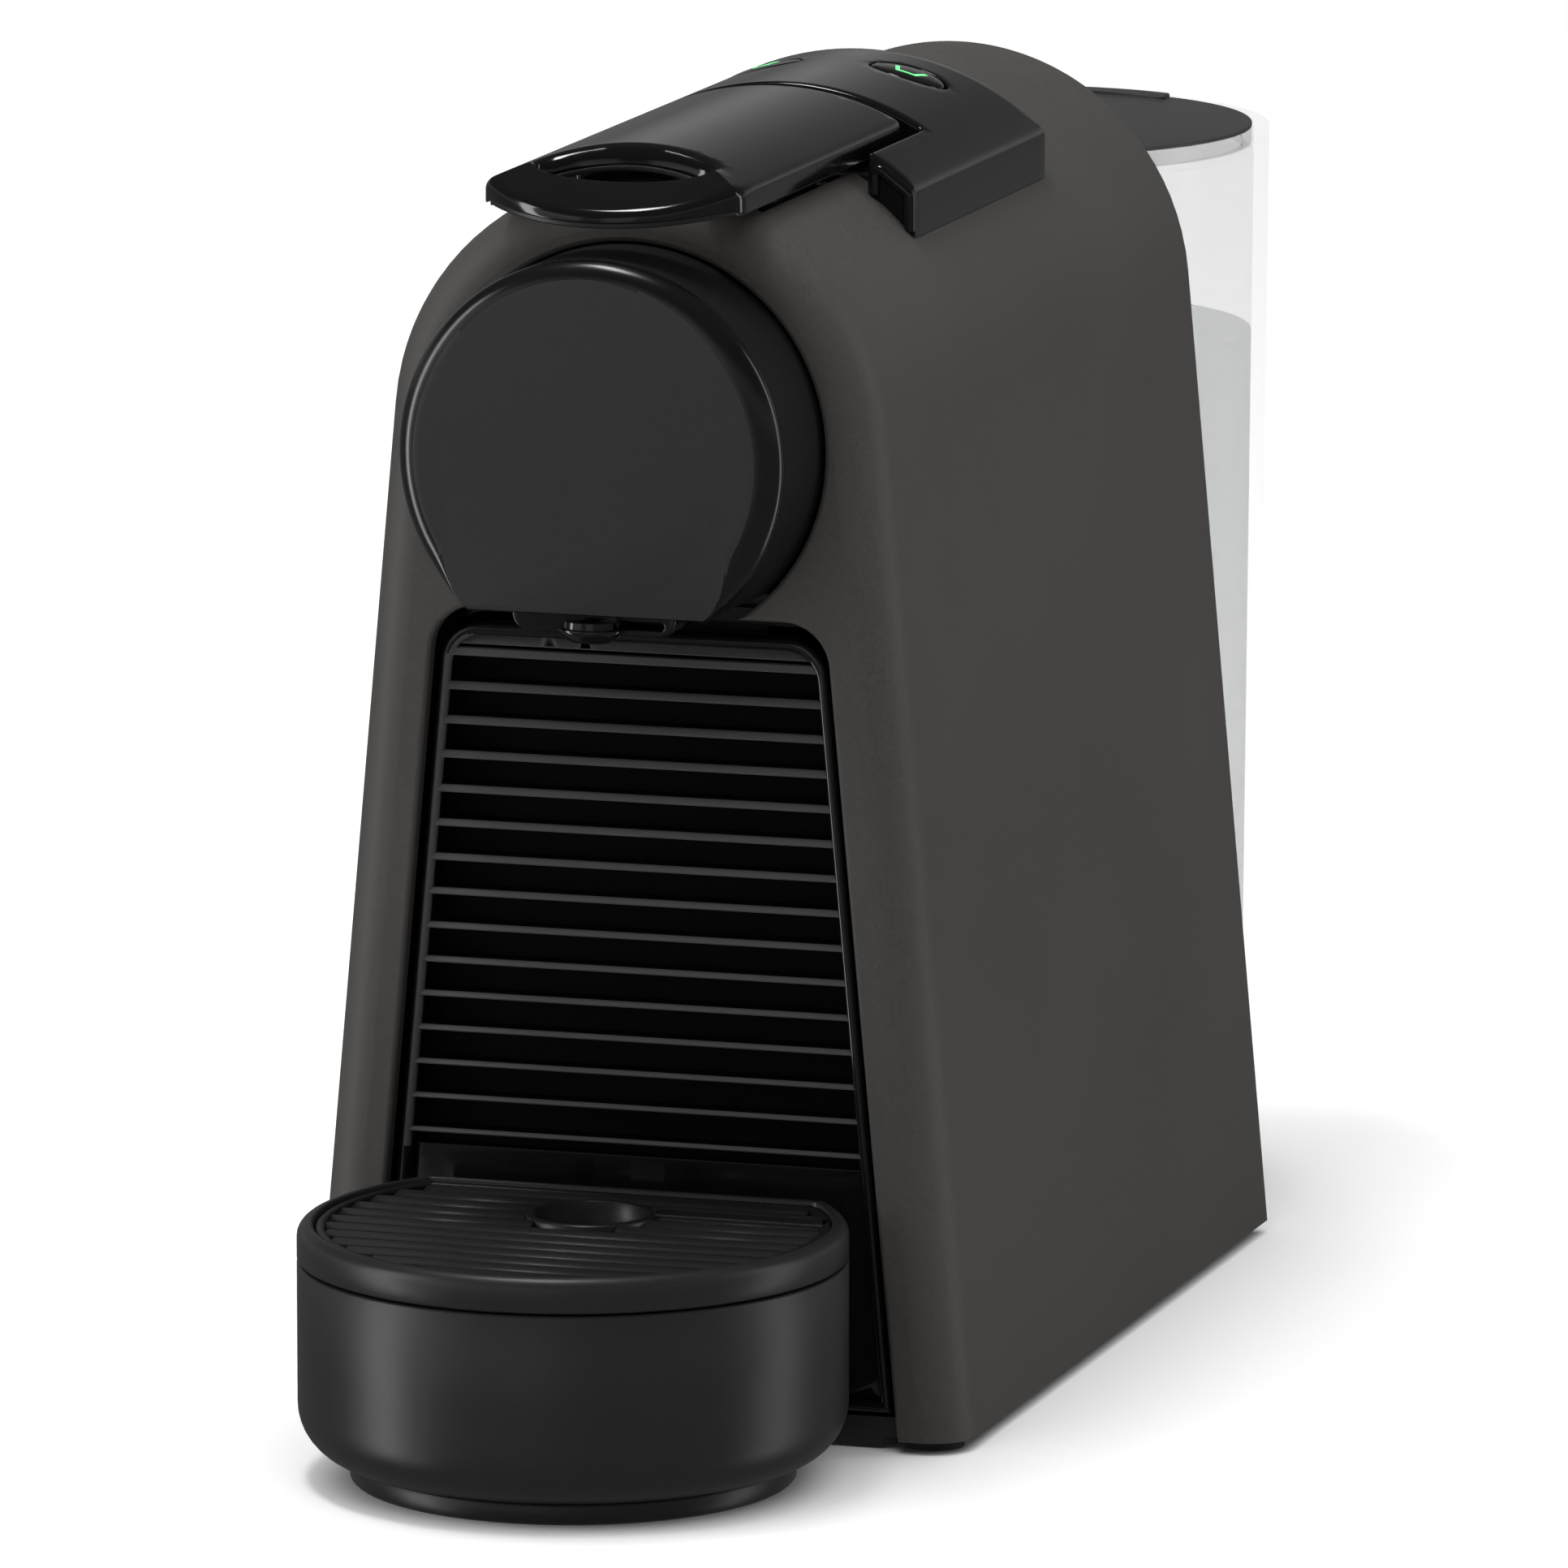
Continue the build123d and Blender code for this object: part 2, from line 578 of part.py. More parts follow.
def tray_rim():
    ring = rod_z(TRAY_RADIUS, TRAY_SEAM, TRAY_TOP, 0, TRAY_Y)
    ring = fillet(ring.edges().group_by(Axis.Z)[-1], 1.6)
    ring = ring & tray_cut(0, 50)
    well = rod_z(GRID_RADIUS + 0.25, TRAY_SEAM + 1.2, 50, 0, TRAY_Y)
    well &= block((-60, 60), (-100, TRAY_BACK - 1.2), (0, 60))
    through = rod_z(TRAY_RADIUS - 4.6, 20, 50, 0, TRAY_Y)
    through &= block((-60, 60), (-100, TRAY_BACK - 3.4), (0, 60))
    return ring - well - through


def drip_grid():
    bottom = TRAY_SEAM + 1.3
    top = TRAY_TOP - 0.5
    disc = rod_z(GRID_RADIUS, bottom, top, 0, TRAY_Y)
    disc &= block((-60, 60), (-100, TRAY_BACK - 1.45), (0, 60))
    gaps = rod_z(GRID_RADIUS - 1.6, 0, 60, 0, TRAY_Y)
    gaps &= block((-60, 60), (-100, TRAY_BACK - 3.0), (0, 60))
    bars = []
    for row in range(GRID_SLATS):
        y = TRAY_BACK - 1.5 - row * GRID_PITCH
        bars.append(block((-60, 60), (y - 2.9, y), (bottom, top - 0.2)))
    spine = block((-1.2, 1.2), (-80, 0), (bottom, bottom + 1.6))
    collar = rod_z(CUP_HOLE_RADIUS + 1.6, bottom, top, 0, CUP_HOLE_Y)
    grid = disc - (gaps - bars - spine - collar)
    return grid - rod_z(CUP_HOLE_RADIUS, 0, 60, 0, CUP_HOLE_Y)


# ---- tank ----
def tank_body(inset, bottom, top):
    foot = Plane.XY.offset(bottom) * tank_section(TANK_FOOT_RADIUS - inset, TANK_FRONT + inset)
    head = Plane.XY.offset(top) * tank_section(TANK_RADIUS - inset, TANK_FRONT + inset)
    return loft([foot, head])


def water_tank():
    tank = tank_body(0, TANK_BOTTOM, TANK_TOP)
    tank -= tank_body(TANK_WALL, TANK_BOTTOM + 3, TANK_TOP + 1)
    ledge = along_z(tank_section(TANK_RADIUS - TANK_WALL + 0.3, TANK_FRONT + 2), 177.2, 178.5)
    ledge -= along_z(tank_section(TANK_RADIUS - 4.6, TANK_FRONT + 4.6), 170, 180)
    return tank + ledge - rod_z(6.0, 0, 30, 0, VALVE_Y)


def tank_valve():
    floor = TANK_BOTTOM + 3
    body = rod_z(5.95, 9.9, floor, 0, VALVE_Y) + rod_z(9, floor, floor + 1.8, 0, VALVE_Y)
    tower = rod_z(5.4, floor, floor + 12, 0, VALVE_Y) - rod_z(4.2, 0, 60, 0, VALVE_Y)
    ports = block((-10, 10), (VALVE_Y - 2, VALVE_Y + 2), (floor + 3, floor + 7))
    cap = rod_z(5.4, floor + 12, floor + 13.4, 0, VALVE_Y) - rod_z(1.6, 0, 60, 0, VALVE_Y)
    return body + tower - ports + cap - rod_z(3.0, 0, floor + 2, 0, VALVE_Y)


def valve_poppet():
    floor = TANK_BOTTOM + 3
    head = rod_z(3.9, floor + 3.6, floor + 5.4, 0, VALVE_Y)
    return head + rod_z(1.4, 9.7, floor + 15, 0, VALVE_Y)


def valve_spring():
    floor = TANK_BOTTOM + 3
    coils = []
    for turn in range(4):
        z = floor + 6.5 + 1.4 * turn
        ring = rod_z(3.6, z, z + 0.7, 0, VALVE_Y) - rod_z(2.8, z - 1, z + 2, 0, VALVE_Y)
        coils.append(ring)
    posts = block((2.9, 3.5), (VALVE_Y - 0.3, VALVE_Y + 0.3), (floor + 6.5, floor + 11.4))
    return coils[0] + posts + coils[1] + coils[2] + coils[3]


def valve_gasket():
    floor = TANK_BOTTOM
    return rod_z(6.5, floor - 1.6, floor - 0.2, 0, VALVE_Y) - rod_z(5.97, 0, 20, 0, VALVE_Y)


def tank_lid():
    radius = TANK_RADIUS - TANK_WALL - 0.35
    outline = tank_section(radius, TANK_FRONT + TANK_WALL + 0.4)
    plate = along_z(outline, 178.6, 181.9) - along_z(tank_section(38.4, 183.5), 170, 180.4)
    plate = fillet(plate.edges().group_by(Axis.Z)[-1], 0.4)
    lip = rod_z(radius - 0.2, 181.8, 182.6, 0, TANK_Y) - rod_z(36.5, 180, 190, 0, TANK_Y)
    return plate + (lip & block((-17, 17), (TANK_Y + 20, TANK_Y + 50), (180, 190)))


# ---- what the shell holds inside ----
def pump_body():
    inlet = rod_y(5, 106, 118, 0, 42)
    cylinder = rod_y(9, 118, 162, 0, 42)
    outlet = rod_y(6, 162, 168, 0, 42)
    return inlet + cylinder + outlet - rod_y(1.8, 100, 171, 0, 42)


def pump_coil():
    frame = block((-19, 19), (124, 156), (24, 60))
    return frame - rod_y(9.05, 120, 160, 0, 42)


def pump_mounts():
    return group(
        block((-14, 14), (y, y + 4), (16.1, 56)) - rod_y(9.05, y - 1, y + 5, 0, 42)
        for y in (119, 157)
    )


def pump_bracket():
    base = block((-22, 22), (112, 162.5), (5.3, 7.3))
    ends = [block((-16, 16), (y, y + 4.2), (7.3, 16)) for y in (118.9, 156.9)]
    return base + ends


def thermoblock():
    body = block((-26, 26), (108, 132), (82, 138))
    body = fillet(body.edges().filter_by(Axis.Y), 6)
    fins = [block((-20, 20), (132, 134.4), (z, z + 2.4)) for z in (90, 100, 110, 120)]
    inlet = rod_z(3.2, 76, 82, -14, 120)
    outlet = rod_z(3.2, 138, 144, 0, 120)
    return body + fins + inlet + outlet


def thermal_fuses():
    return group(rod_y(4.4, 134.5, 137.5, x, 115) for x in (-12, 12))


def flow_meter():
    body = rod_z(12, 62.5, 74.5, 14, 158)
    inlet = rod_z(2.2, 58, 62.5, 14, 166)
    outlet = rod_x(2.2, 24, 30, 158, 68)
    return body + inlet + outlet


def inlet_hose():
    """From the dock under the tank up to the flow meter."""
    points = ((0, 171.9, OUTLET_Z), (0, 166, OUTLET_Z), (14, 166, OUTLET_Z), (14, 166, 57.9))
    return tube(points, (5, 5), 2.2, 1.2)


def suction_hose():
    """From the flow meter round to the front end of the pump."""
    points = (
        (30.1, 158, 68), (36, 158, 68), (36, 158, 42), (36, 99.5, 42), (0, 99.5, 42), (0, 105.9, 42),
    )
    return tube(points, (5, 8, 8, 5), 2.2, 1.2)


def pressure_hose():
    """From the pump round to the heater."""
    points = (
        (0, 168.1, 42), (0, 172.6, 42), (-22.5, 172.6, 42), (-22.5, 172.6, 67),
        (-22.5, 120, 67), (-14, 120, 67), (-14, 120, 75.9),
    )
    return tube(points, (4, 6, 6, 4, 4), 2.0, 1.0)


def brew_hose():
    points = ((0, 120, 144.1), (0, 120, CHAMBER_Z), (0, 98.1, CHAMBER_Z))
    return tube(points, (9.0,), 2.0, 1.0)


def power_board():
    board = block((-41.6, -40), (104, 170), (18, 76))
    relay = block((-40, -30), (108, 124), (24, 40))
    capacitor = rod_x(6, -40, -26, 142, 34)
    transformer = block((-40, -28), (130, 152), (48, 68))
    terminal = block((-40, -33), (158, 168), (20, 44))
    return board + relay + capacitor + transformer + terminal


def board_carrier():
    carrier = block((-43.6, -41.7), (102, 172), (16, 78))
    shelf = block((-43.6, -38), (102, 172), (14.5, 16))
    legs = [block((-43.6, -40), (y, y + 4), (5.3, 14.5)) for y in (118, 154)]
    return carrier + shelf + legs


def cord_gland():
    neck = rod_y(GLAND_RADIUS, 175.7, SHELL_DEPTH + 0.5, GLAND_X, GLAND_Z)
    flange = block((-49.4, -42.6), (173.6, 175.7), (8.5, 19.5))
    return neck + flange - rod_y(2.6, 165, 190, GLAND_X, GLAND_Z)


def chassis_screws():
    heads = []
    for x in (-46.8, 46.8):
        for y in (112, 168):
            heads.append(rod_z(2.6, 12.05, 13.6, x, y) + rod_z(1.25, 6.2, 12.05, x, y))
    return group(heads)


def main():
    os.makedirs("parts", exist_ok=True)
    makers = (
        outer_shell, chassis_base, rubber_feet, tank_dock, dock_valve_seat, dock_seal, panel_frame,
        drum_sleeve, drum_cap, spout_plate, coffee_nozzle, coffee_funnel, piercing_plate,
        brew_frame, guide_block, capsule_chute, control_saddle, pivot_bushes, button_board,
        lever_plate, lever_yoke, lever_shaft, crank_pin, toggle_links, link_pin,
        chamber_body, chamber_seal, chamber_spigot, needle_plate,
        louvre_panel, capsule_bin, drawer_base, tray_bowl, tray_rim, drip_grid,
        water_tank, tank_valve, valve_poppet, valve_spring, valve_gasket, tank_lid,
        pump_body, pump_coil, pump_mounts, pump_bracket, thermoblock, thermal_fuses, flow_meter,
        inlet_hose, suction_hose, pressure_hose, brew_hose, power_board, board_carrier,
        cord_gland, chassis_screws,
    )
    for make in makers:
        save(make.__name__, make())
    for name, side in (("left", -1), ("right", 1)):
        save(f"button_{name}_cap", button_cap(side))
        save(f"button_{name}_icon", button_icon(side))


main()
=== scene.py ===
from math import asin, atan2, cos, degrees, pi, radians, sin, sqrt

import bmesh
import bpy
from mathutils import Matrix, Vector
from mathutils.geometry import delaunay_2d_cdt


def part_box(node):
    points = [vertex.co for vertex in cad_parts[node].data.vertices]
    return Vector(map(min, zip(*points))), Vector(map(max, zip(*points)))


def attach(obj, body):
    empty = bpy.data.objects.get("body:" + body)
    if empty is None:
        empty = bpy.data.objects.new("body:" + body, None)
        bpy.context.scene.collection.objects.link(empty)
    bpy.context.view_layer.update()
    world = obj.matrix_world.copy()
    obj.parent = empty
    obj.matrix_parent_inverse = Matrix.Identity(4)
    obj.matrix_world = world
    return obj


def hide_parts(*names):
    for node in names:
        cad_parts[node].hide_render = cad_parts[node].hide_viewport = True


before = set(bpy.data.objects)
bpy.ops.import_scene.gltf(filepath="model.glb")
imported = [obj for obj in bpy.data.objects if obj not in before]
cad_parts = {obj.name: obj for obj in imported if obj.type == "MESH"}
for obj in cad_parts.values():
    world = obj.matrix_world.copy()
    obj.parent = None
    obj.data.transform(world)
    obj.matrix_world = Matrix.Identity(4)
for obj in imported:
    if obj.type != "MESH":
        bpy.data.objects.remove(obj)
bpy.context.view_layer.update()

# ---- sizes, in millimetres, with y measured from the front face of the shell ----
MM = 0.001
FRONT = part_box("outer_shell")[0].y
ARCH_Z = 159.2              # axis of the arch, the saddle and the lever's top
SHELL_RADIUS = 40.5
SKIN_RADIUS = 46.0
PLATE_THICK = 3.2

SADDLE_HALF = 31.3
SADDLE_FRONT = 51.1
SADDLE_BAND = 80.3
SADDLE_BACK = 124.5
WING_INNER = 23.4
BEAD = 1.0

LEVER_HALF = 21.2
LEVER_BACK_ROUND = 1.6
LEVER_BACK = 77.0
LEVER_CORNER = -7.0
LEVER_APEX = -17.0
LEVER_ROUND = 4.0
LOOP_Y = -2.0
LOOP_HALF_X = 14.6
LOOP_HALF_Y = 5.2
LOOP_ROLL = 2.8
BAR_BOTTOM = 194.6
LINER_THICK = 0.85
KEEL_RADIUS = 116.0         # the bow of the nose's underside
BEVEL_Y = 5.5
BEVEL_Z = 205.6
BEVEL_SLOPE = 0.367

BUTTON_X = 12.3
BUTTON_Y = 109.5
BUTTON_HALF_X = 6.35
BUTTON_HALF_Y = 4.95
BUTTON_HOLE = (6.55, 5.4)

DRUM_Z = 159.0
DRUM_RADIUS = 31.25
DRUM_FLAT = 134.55
DRUM_BACK = -17.95
DRUM_FACE = -21.6

SPOUT_HALF = 13.4
SPOUT_LOW = 131.2
SPOUT_HIGH = 135.7
NOZZLE_Y = -18.9

PANEL_HALF_115 = 33.6       # half of the width at a height of 115
PANEL_SLOPE = 0.0919
PANEL_LOW = 5.8
PANEL_HIGH = 128.6
PANEL_FRONT = 2.0           # depths behind the shell's front face
PANEL_FLOOR = 6.4
RIB_COUNT = 15
RIB_TOP = 123.87
RIB_PITCH = 5.508

TRAY_Y = -28.4
TRAY_RADIUS = 43.0
TRAY_BACK = -1.0
TRAY_FILLET = 8.7
RIM_BOTTOM = 35.0
RIM_ROUND = 38.4
GRID_RADIUS = 40.1
GRID_BOTTOM = 36.5
GRID_TOP = 39.95
SLAT_BOTTOM = 36.6
SLAT_PITCH = 5.3
SLAT_WIDTH = 2.9
SLAT_COUNT = 13
CUP_HOLE_Y = -19.4
CUP_HOLE_RADIUS = 8.7

TANK_Y = 212.0
TANK_FRONT = 181.6
TANK_INNER = 40.35
TANK_FOOT_INNER = 39.05
TANK_BOTTOM = 12.8
TANK_HEIGHT = 168.7
WATER_BOTTOM = 15.9
WATER_TOP = 146.5
LID_RADIUS = 40.05
LID_TOP = 181.9
SKIRT_TOP = 181.2
SKIRT_BOTTOM = 178.6


def place(x, y, z):
    """A point of the machine, in metres in the frame of the CAD."""
    return Vector((x * MM, FRONT + y * MM, z * MM))


# ---- materials ----
def new_material(name, color, roughness):
    mat = bpy.data.materials.new(name)
    mat.use_nodes = True
    shader = mat.node_tree.nodes["Principled BSDF"]
    shader.inputs["Base Color"].default_value = (*color, 1)
    shader.inputs["Roughness"].default_value = roughness
    return mat, mat.node_tree, shader


def add_node(tree, kind, **values):
    node = tree.nodes.new(kind)
    for name, value in values.items():
        node.inputs[name.replace("_", " ")].default_value = value
    return node


def object_noise(tree, scale, detail=4.0, roughness=0.6):
    coordinates = tree.nodes.new("ShaderNodeTexCoord")
    noise = add_node(tree, "ShaderNodeTexNoise", Scale=scale, Detail=detail, Roughness=roughness)
    tree.links.new(coordinates.outputs["Object"], noise.inputs["Vector"])
    return noise


def ramp(tree, source, low, high, start=0.3, end=0.7):
    """A ramp between two colours or two grey levels."""
    node = tree.nodes.new("ShaderNodeValToRGB")
    low = low if isinstance(low, tuple) else (low, low, low)
    high = high if isinstance(high, tuple) else (high, high, high)
    node.color_ramp.elements[0].position = start
    node.color_ramp.elements[0].color = (*low, 1)
    node.color_ramp.elements[1].position = end
    node.color_ramp.elements[1].color = (*high, 1)
    tree.links.new(source, node.inputs["Fac"])
    return node


def add_bump(tree, shader, source, strength, distance):
    bump = add_node(tree, "ShaderNodeBump", Strength=strength, Distance=distance)
    tree.links.new(source, bump.inputs["Height"])
    tree.links.new(bump.outputs["Normal"], shader.inputs["Normal"])


def moulded(name, low, high, roughness, grain=2600, bump=0.05, depth=0.00003, specular=0.5):
    """Moulded plastic: fine speckle in the colour, spark grain in the surface."""
    mat, tree, shader = new_material(name, high, roughness[1])
    shader.inputs["Specular IOR Level"].default_value = specular
    speckle = object_noise(tree, grain, 3.0, 0.7)
    cloud = object_noise(tree, 18, 2.0, 0.5)
    mix = tree.nodes.new("ShaderNodeMix")
    mix.data_type = "FLOAT"
    mix.inputs["Factor"].default_value = 0.25
    tree.links.new(speckle.outputs["Fac"], mix.inputs[2])
    tree.links.new(cloud.outputs["Fac"], mix.inputs[3])
    tint = ramp(tree, mix.outputs[0], low, high, 0.35, 0.65)
    tree.links.new(tint.outputs["Color"], shader.inputs["Base Color"])
    rough = ramp(tree, speckle.outputs["Fac"], roughness[0], roughness[1], 0.3, 0.7)
    tree.links.new(rough.outputs["Color"], shader.inputs["Roughness"])
    add_bump(tree, shader, speckle.outputs["Fac"], bump, depth)
    return mat


def polished(name, color, roughness=(0.09, 0.15)):
    """Polished black plastic: faint waviness and hazy handling marks."""
    mat, tree, shader = new_material(name, color, roughness[1])
    haze = object_noise(tree, 45, 5.0, 0.65)
    rough = ramp(tree, haze.outputs["Fac"], roughness[0], roughness[1], 0.35, 0.7)
    tree.links.new(rough.outputs["Color"], shader.inputs["Roughness"])
    tint = ramp(tree, haze.outputs["Fac"], color, tuple(c * 1.3 for c in color), 0.3, 0.8)
    tree.links.new(tint.outputs["Color"], shader.inputs["Base Color"])
    wave = object_noise(tree, 60, 1.0, 0.4)
    add_bump(tree, shader, wave.outputs["Fac"], 0.02, 0.0001)
    return mat


def metal(name, color, roughness, stretch=(1, 60, 60)):
    """Metal with fine drawn lines along one axis."""
    mat, tree, shader = new_material(name, color, roughness[0])
    shader.inputs["Metallic"].default_value = 1.0
    coordinates = tree.nodes.new("ShaderNodeTexCoord")
    mapping = add_node(tree, "ShaderNodeMapping", Scale=stretch)
    lines = add_node(tree, "ShaderNodeTexNoise", Scale=60.0, Detail=4.0)
    tree.links.new(coordinates.outputs["Object"], mapping.inputs["Vector"])
    tree.links.new(mapping.outputs["Vector"], lines.inputs["Vector"])
    rough = ramp(tree, lines.outputs["Fac"], roughness[0], roughness[1])
    tree.links.new(rough.outputs["Color"], shader.inputs["Roughness"])
    tint = ramp(tree, lines.outputs["Fac"], tuple(c * 0.85 for c in color), color)
    tree.links.new(tint.outputs["Color"], shader.inputs["Base Color"])
    add_bump(tree, shader, lines.outputs["Fac"], 0.1, 0.00005)
    return mat


def clear(name, color, roughness, alpha):
    """Clear plastic or water, drawn as a see-through skin with its own gloss."""
    mat, tree, shader = new_material(name, color, roughness)
    shader.inputs["Alpha"].default_value = alpha
    haze = object_noise(tree, 30, 3.0, 0.5)
    rough = ramp(tree, haze.outputs["Fac"], roughness, roughness + 0.04)
    tree.links.new(rough.outputs["Color"], shader.inputs["Roughness"])
    return mat


def lit_lens():
    mat, tree, shader = new_material("icon_light", (0.05, 0.6, 0.15), 0.3)
    glow = object_noise(tree, 900, 2.0, 0.5)
    tint = ramp(tree, glow.outputs["Fac"], (0.10, 0.75, 0.20), (0.16, 0.85, 0.28))
    tree.links.new(tint.outputs["Color"], shader.inputs["Base Color"])
    tree.links.new(tint.outputs["Color"], shader.inputs["Emission Color"])
    shader.inputs["Emission Strength"].default_value = 0.75
    return mat


SHELL = moulded(
    "shell_grain", (0.040, 0.037, 0.034), (0.056, 0.052, 0.048),
    (0.52, 0.64), 1500, 0.12,
)
GLOSS = polished("polished_black", (0.0035, 0.0035, 0.0037))
RING = polished("drum_ring_black", (0.0035, 0.0035, 0.0037), (0.19, 0.25))
SATIN = moulded(
    "satin_black_grain", (0.009, 0.009, 0.0092), (0.013, 0.013, 0.0133),
    (0.36, 0.44), 2200, 0.05,
)
PANEL = moulded(
    "panel_grain", (0.042, 0.042, 0.042), (0.054, 0.054, 0.054),
    (0.5, 0.6), 2200, 0.05,
)
DEEP = moulded(
    "matte_black_grain", (0.003, 0.003, 0.003), (0.005, 0.005, 0.005),
    (0.6, 0.75), 2200, 0.08, specular=0.3,
)
# Near-black material that stands in for the shade deep in the louvre's grooves: painted shade.
PAINTED_SHADE = moulded(
    "painted_shade_black_grain", (0.0006, 0.0006, 0.0006), (0.0012, 0.0012, 0.0012),
    (0.5, 0.6), 2200, 0.05, specular=0.08,
)
GRILLE = moulded(
    "grille_grain", (0.004, 0.004, 0.0041), (0.007, 0.007, 0.0072),
    (0.34, 0.42), 2200, 0.05,
)
LID = moulded("lid_grain", (0.025, 0.025, 0.025), (0.032, 0.032, 0.032), (0.42, 0.52), 2000, 0.08)
RUBBER = moulded(
    "rubber_grain", (0.008, 0.008, 0.008), (0.014, 0.014, 0.014),
    (0.7, 0.85), 1200, 0.2,
)
NATURAL = moulded(
    "natural_nylon_grain", (0.52, 0.51, 0.47), (0.62, 0.61, 0.58),
    (0.4, 0.5), 1500, 0.08,
)
SILICONE = moulded(
    "silicone_grain", (0.50, 0.50, 0.47), (0.60, 0.60, 0.57),
    (0.3, 0.4), 900, 0.05,
)
BOARD = moulded(
    "board_varnish", (0.010, 0.085, 0.030), (0.016, 0.120, 0.045),
    (0.25, 0.4), 500, 0.1,
)
CERAMIC = moulded("fuse_glaze", (0.60, 0.58, 0.52), (0.70, 0.68, 0.62), (0.3, 0.4), 800, 0.05)
FACE = moulded(
    "drum_face_grain", (0.015, 0.015, 0.0153), (0.020, 0.020, 0.0204),
    (0.40, 0.48), 2200, 0.04,
)
STEEL = metal("drawn_steel", (0.60, 0.60, 0.60), (0.22, 0.36))
IRON = metal("rolled_iron", (0.16, 0.16, 0.17), (0.35, 0.5), (60, 1, 60))
BRASS = metal("turned_brass", (0.72, 0.52, 0.26), (0.2, 0.34), (1, 80, 1))
ALLOY = metal("cast_alloy", (0.62, 0.62, 0.63), (0.4, 0.55), (12, 12, 12))
CLEAR = clear("clear_plastic", (0.45, 0.46, 0.47), 0.03, 0.11)
SMOKED = clear("frosted_skirt", (0.42, 0.42, 0.42), 0.2, 0.28)
WATER = clear("water_body", (0.28, 0.29, 0.30), 0.02, 0.24)
ICON = lit_lens()

NODE_MATERIALS = {
    SHELL: ("outer_shell",),
    GLOSS: ("panel_frame",),
    SATIN: ("chassis_base", "capsule_bin", "drawer_base", "tank_dock", "capsule_chute"),
    DEEP: (
        "drum_sleeve", "coffee_funnel", "board_carrier", "pump_bracket", "dock_valve_seat",
        "cord_gland", "pivot_bushes",
    ),
    RUBBER: ("rubber_feet", "dock_seal", "chamber_seal", "valve_gasket", "pump_mounts"),
    NATURAL: (
        "brew_frame", "guide_block", "chamber_body", "tank_valve", "valve_poppet", "flow_meter",
    ),
    SILICONE: ("inlet_hose", "suction_hose", "pressure_hose", "brew_hose"),
    BOARD: ("power_board", "button_board"),
    CERAMIC: ("thermal_fuses",),
    STEEL: (
        "lever_shaft", "crank_pin", "link_pin", "toggle_links", "lever_yoke", "needle_plate",
        "piercing_plate", "valve_spring", "chassis_screws", "chamber_spigot",
    ),
    IRON: ("pump_coil",),
    BRASS: ("pump_body",),
    ALLOY: ("thermoblock",),
    CLEAR: ("water_tank",),
}


def paint_nodes():
    for mat, names in NODE_MATERIALS.items():
        for name in names:
            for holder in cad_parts[name].material_slots:
                holder.material = mat


# ---- mesh tools ----
def add_piece(name, mesh, mat, body, slot, *nodes):
    """Make an object of a mesh; it rides a body and may stand for CAD nodes."""
    mesh.materials.append(mat)
    for face in mesh.polygons:
        face.use_smooth = True
    obj = bpy.data.objects.new(name, mesh)
    bpy.context.scene.collection.objects.link(obj)
    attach(obj, body)
    if nodes:
        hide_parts(*nodes)
    return obj


def second_material(obj, mat, chosen):
    """Give a material to the faces for which chosen(centre in millimetres, normal) holds."""
    mesh = obj.data
    mesh.materials.append(mat)
    for face in mesh.polygons:
        centre = (face.center - Vector((0, FRONT, 0))) / MM
        if chosen(centre, face.normal):
            face.material_index = 1


def finish_mesh(name, bm, sharp=None):
    """Weld and orient a mesh; edges that turn by more than sharp degrees stay crisp."""
    bmesh.ops.remove_doubles(bm, verts=bm.verts, dist=1e-6)
    bmesh.ops.recalc_face_normals(bm, faces=bm.faces)
    if sharp:
        for edge in bm.edges:
            if len(edge.link_faces) == 2 and edge.calc_face_angle() > radians(sharp):
                edge.smooth = False
    mesh = bpy.data.meshes.new(name)
    bm.to_mesh(mesh)
    bm.free()
    return mesh


def arc(cx, cy, rx, ry, start, end, count):
    """Points on an ellipse from one angle to another, in degrees."""
    turns = [radians(start + (end - start) * i / count) for i in range(count + 1)]
    return [Vector((cx + rx * cos(a), cy + ry * sin(a))) for a in turns]


def oval(cx, cy, rx, ry, count=48):
    return arc(cx, cy, rx, ry, 0, 360, count)[:-1]


def round_corners(points, radii, count=6):
    """Round the corners of an outline; a radius of 0 leaves one as it is."""
    result = []
    for i, point in enumerate(points):
        here, radius = Vector(point), radii[i]
        if not radius:
            result.append(here)
            continue
        before = (Vector(points[i - 1]) - here).normalized()
        after = (Vector(points[(i + 1) % len(points)]) - here).normalized()
        half = before.angle(after) / 2
        centre = here + (before + after).normalized() * radius / sin(half)
        start = here + before * radius * cos(half) / sin(half)
        end = here + after * radius * cos(half) / sin(half)
        for k in range(count + 1):
            ray = (start - centre).lerp(end - centre, k / count)
            result.append(centre + ray.normalized() * radius)
    return result


def resample(points, spacing):
    """Split the long edges of a closed outline."""
    result = []
    for i, here in enumerate(points):
        after = points[(i + 1) % len(points)]
        parts = max(1, round((after - here).length / spacing))
        result += [here.lerp(after, k / parts) for k in range(parts)]
    return result


def inset(points, distances):
    """Move each point of a closed outline to its left by its own distance."""
    ring = []
    count = len(points)
    for i, here in enumerate(points):
        into = (here - points[i - 1]).normalized()
        out = (points[(i + 1) % count] - here).normalized()
        left = Vector((-into.y - out.y, into.x + out.x)).normalized()
        reach = max(0.5, left.dot(Vector((-into.y, into.x))))
        ring.append(here + left * distances[i] / reach)
    return ring


def inside(point, loop):
    """Whether a point lies within a closed outline."""
    hit = False
    for i, a in enumerate(loop):
        b = loop[i - 1]
        if (a.y > point.y) != (b.y > point.y):
            if point.x < (b.x - a.x) * (point.y - a.y) / (b.y - a.y) + a.x:
                hit = not hit
    return hit


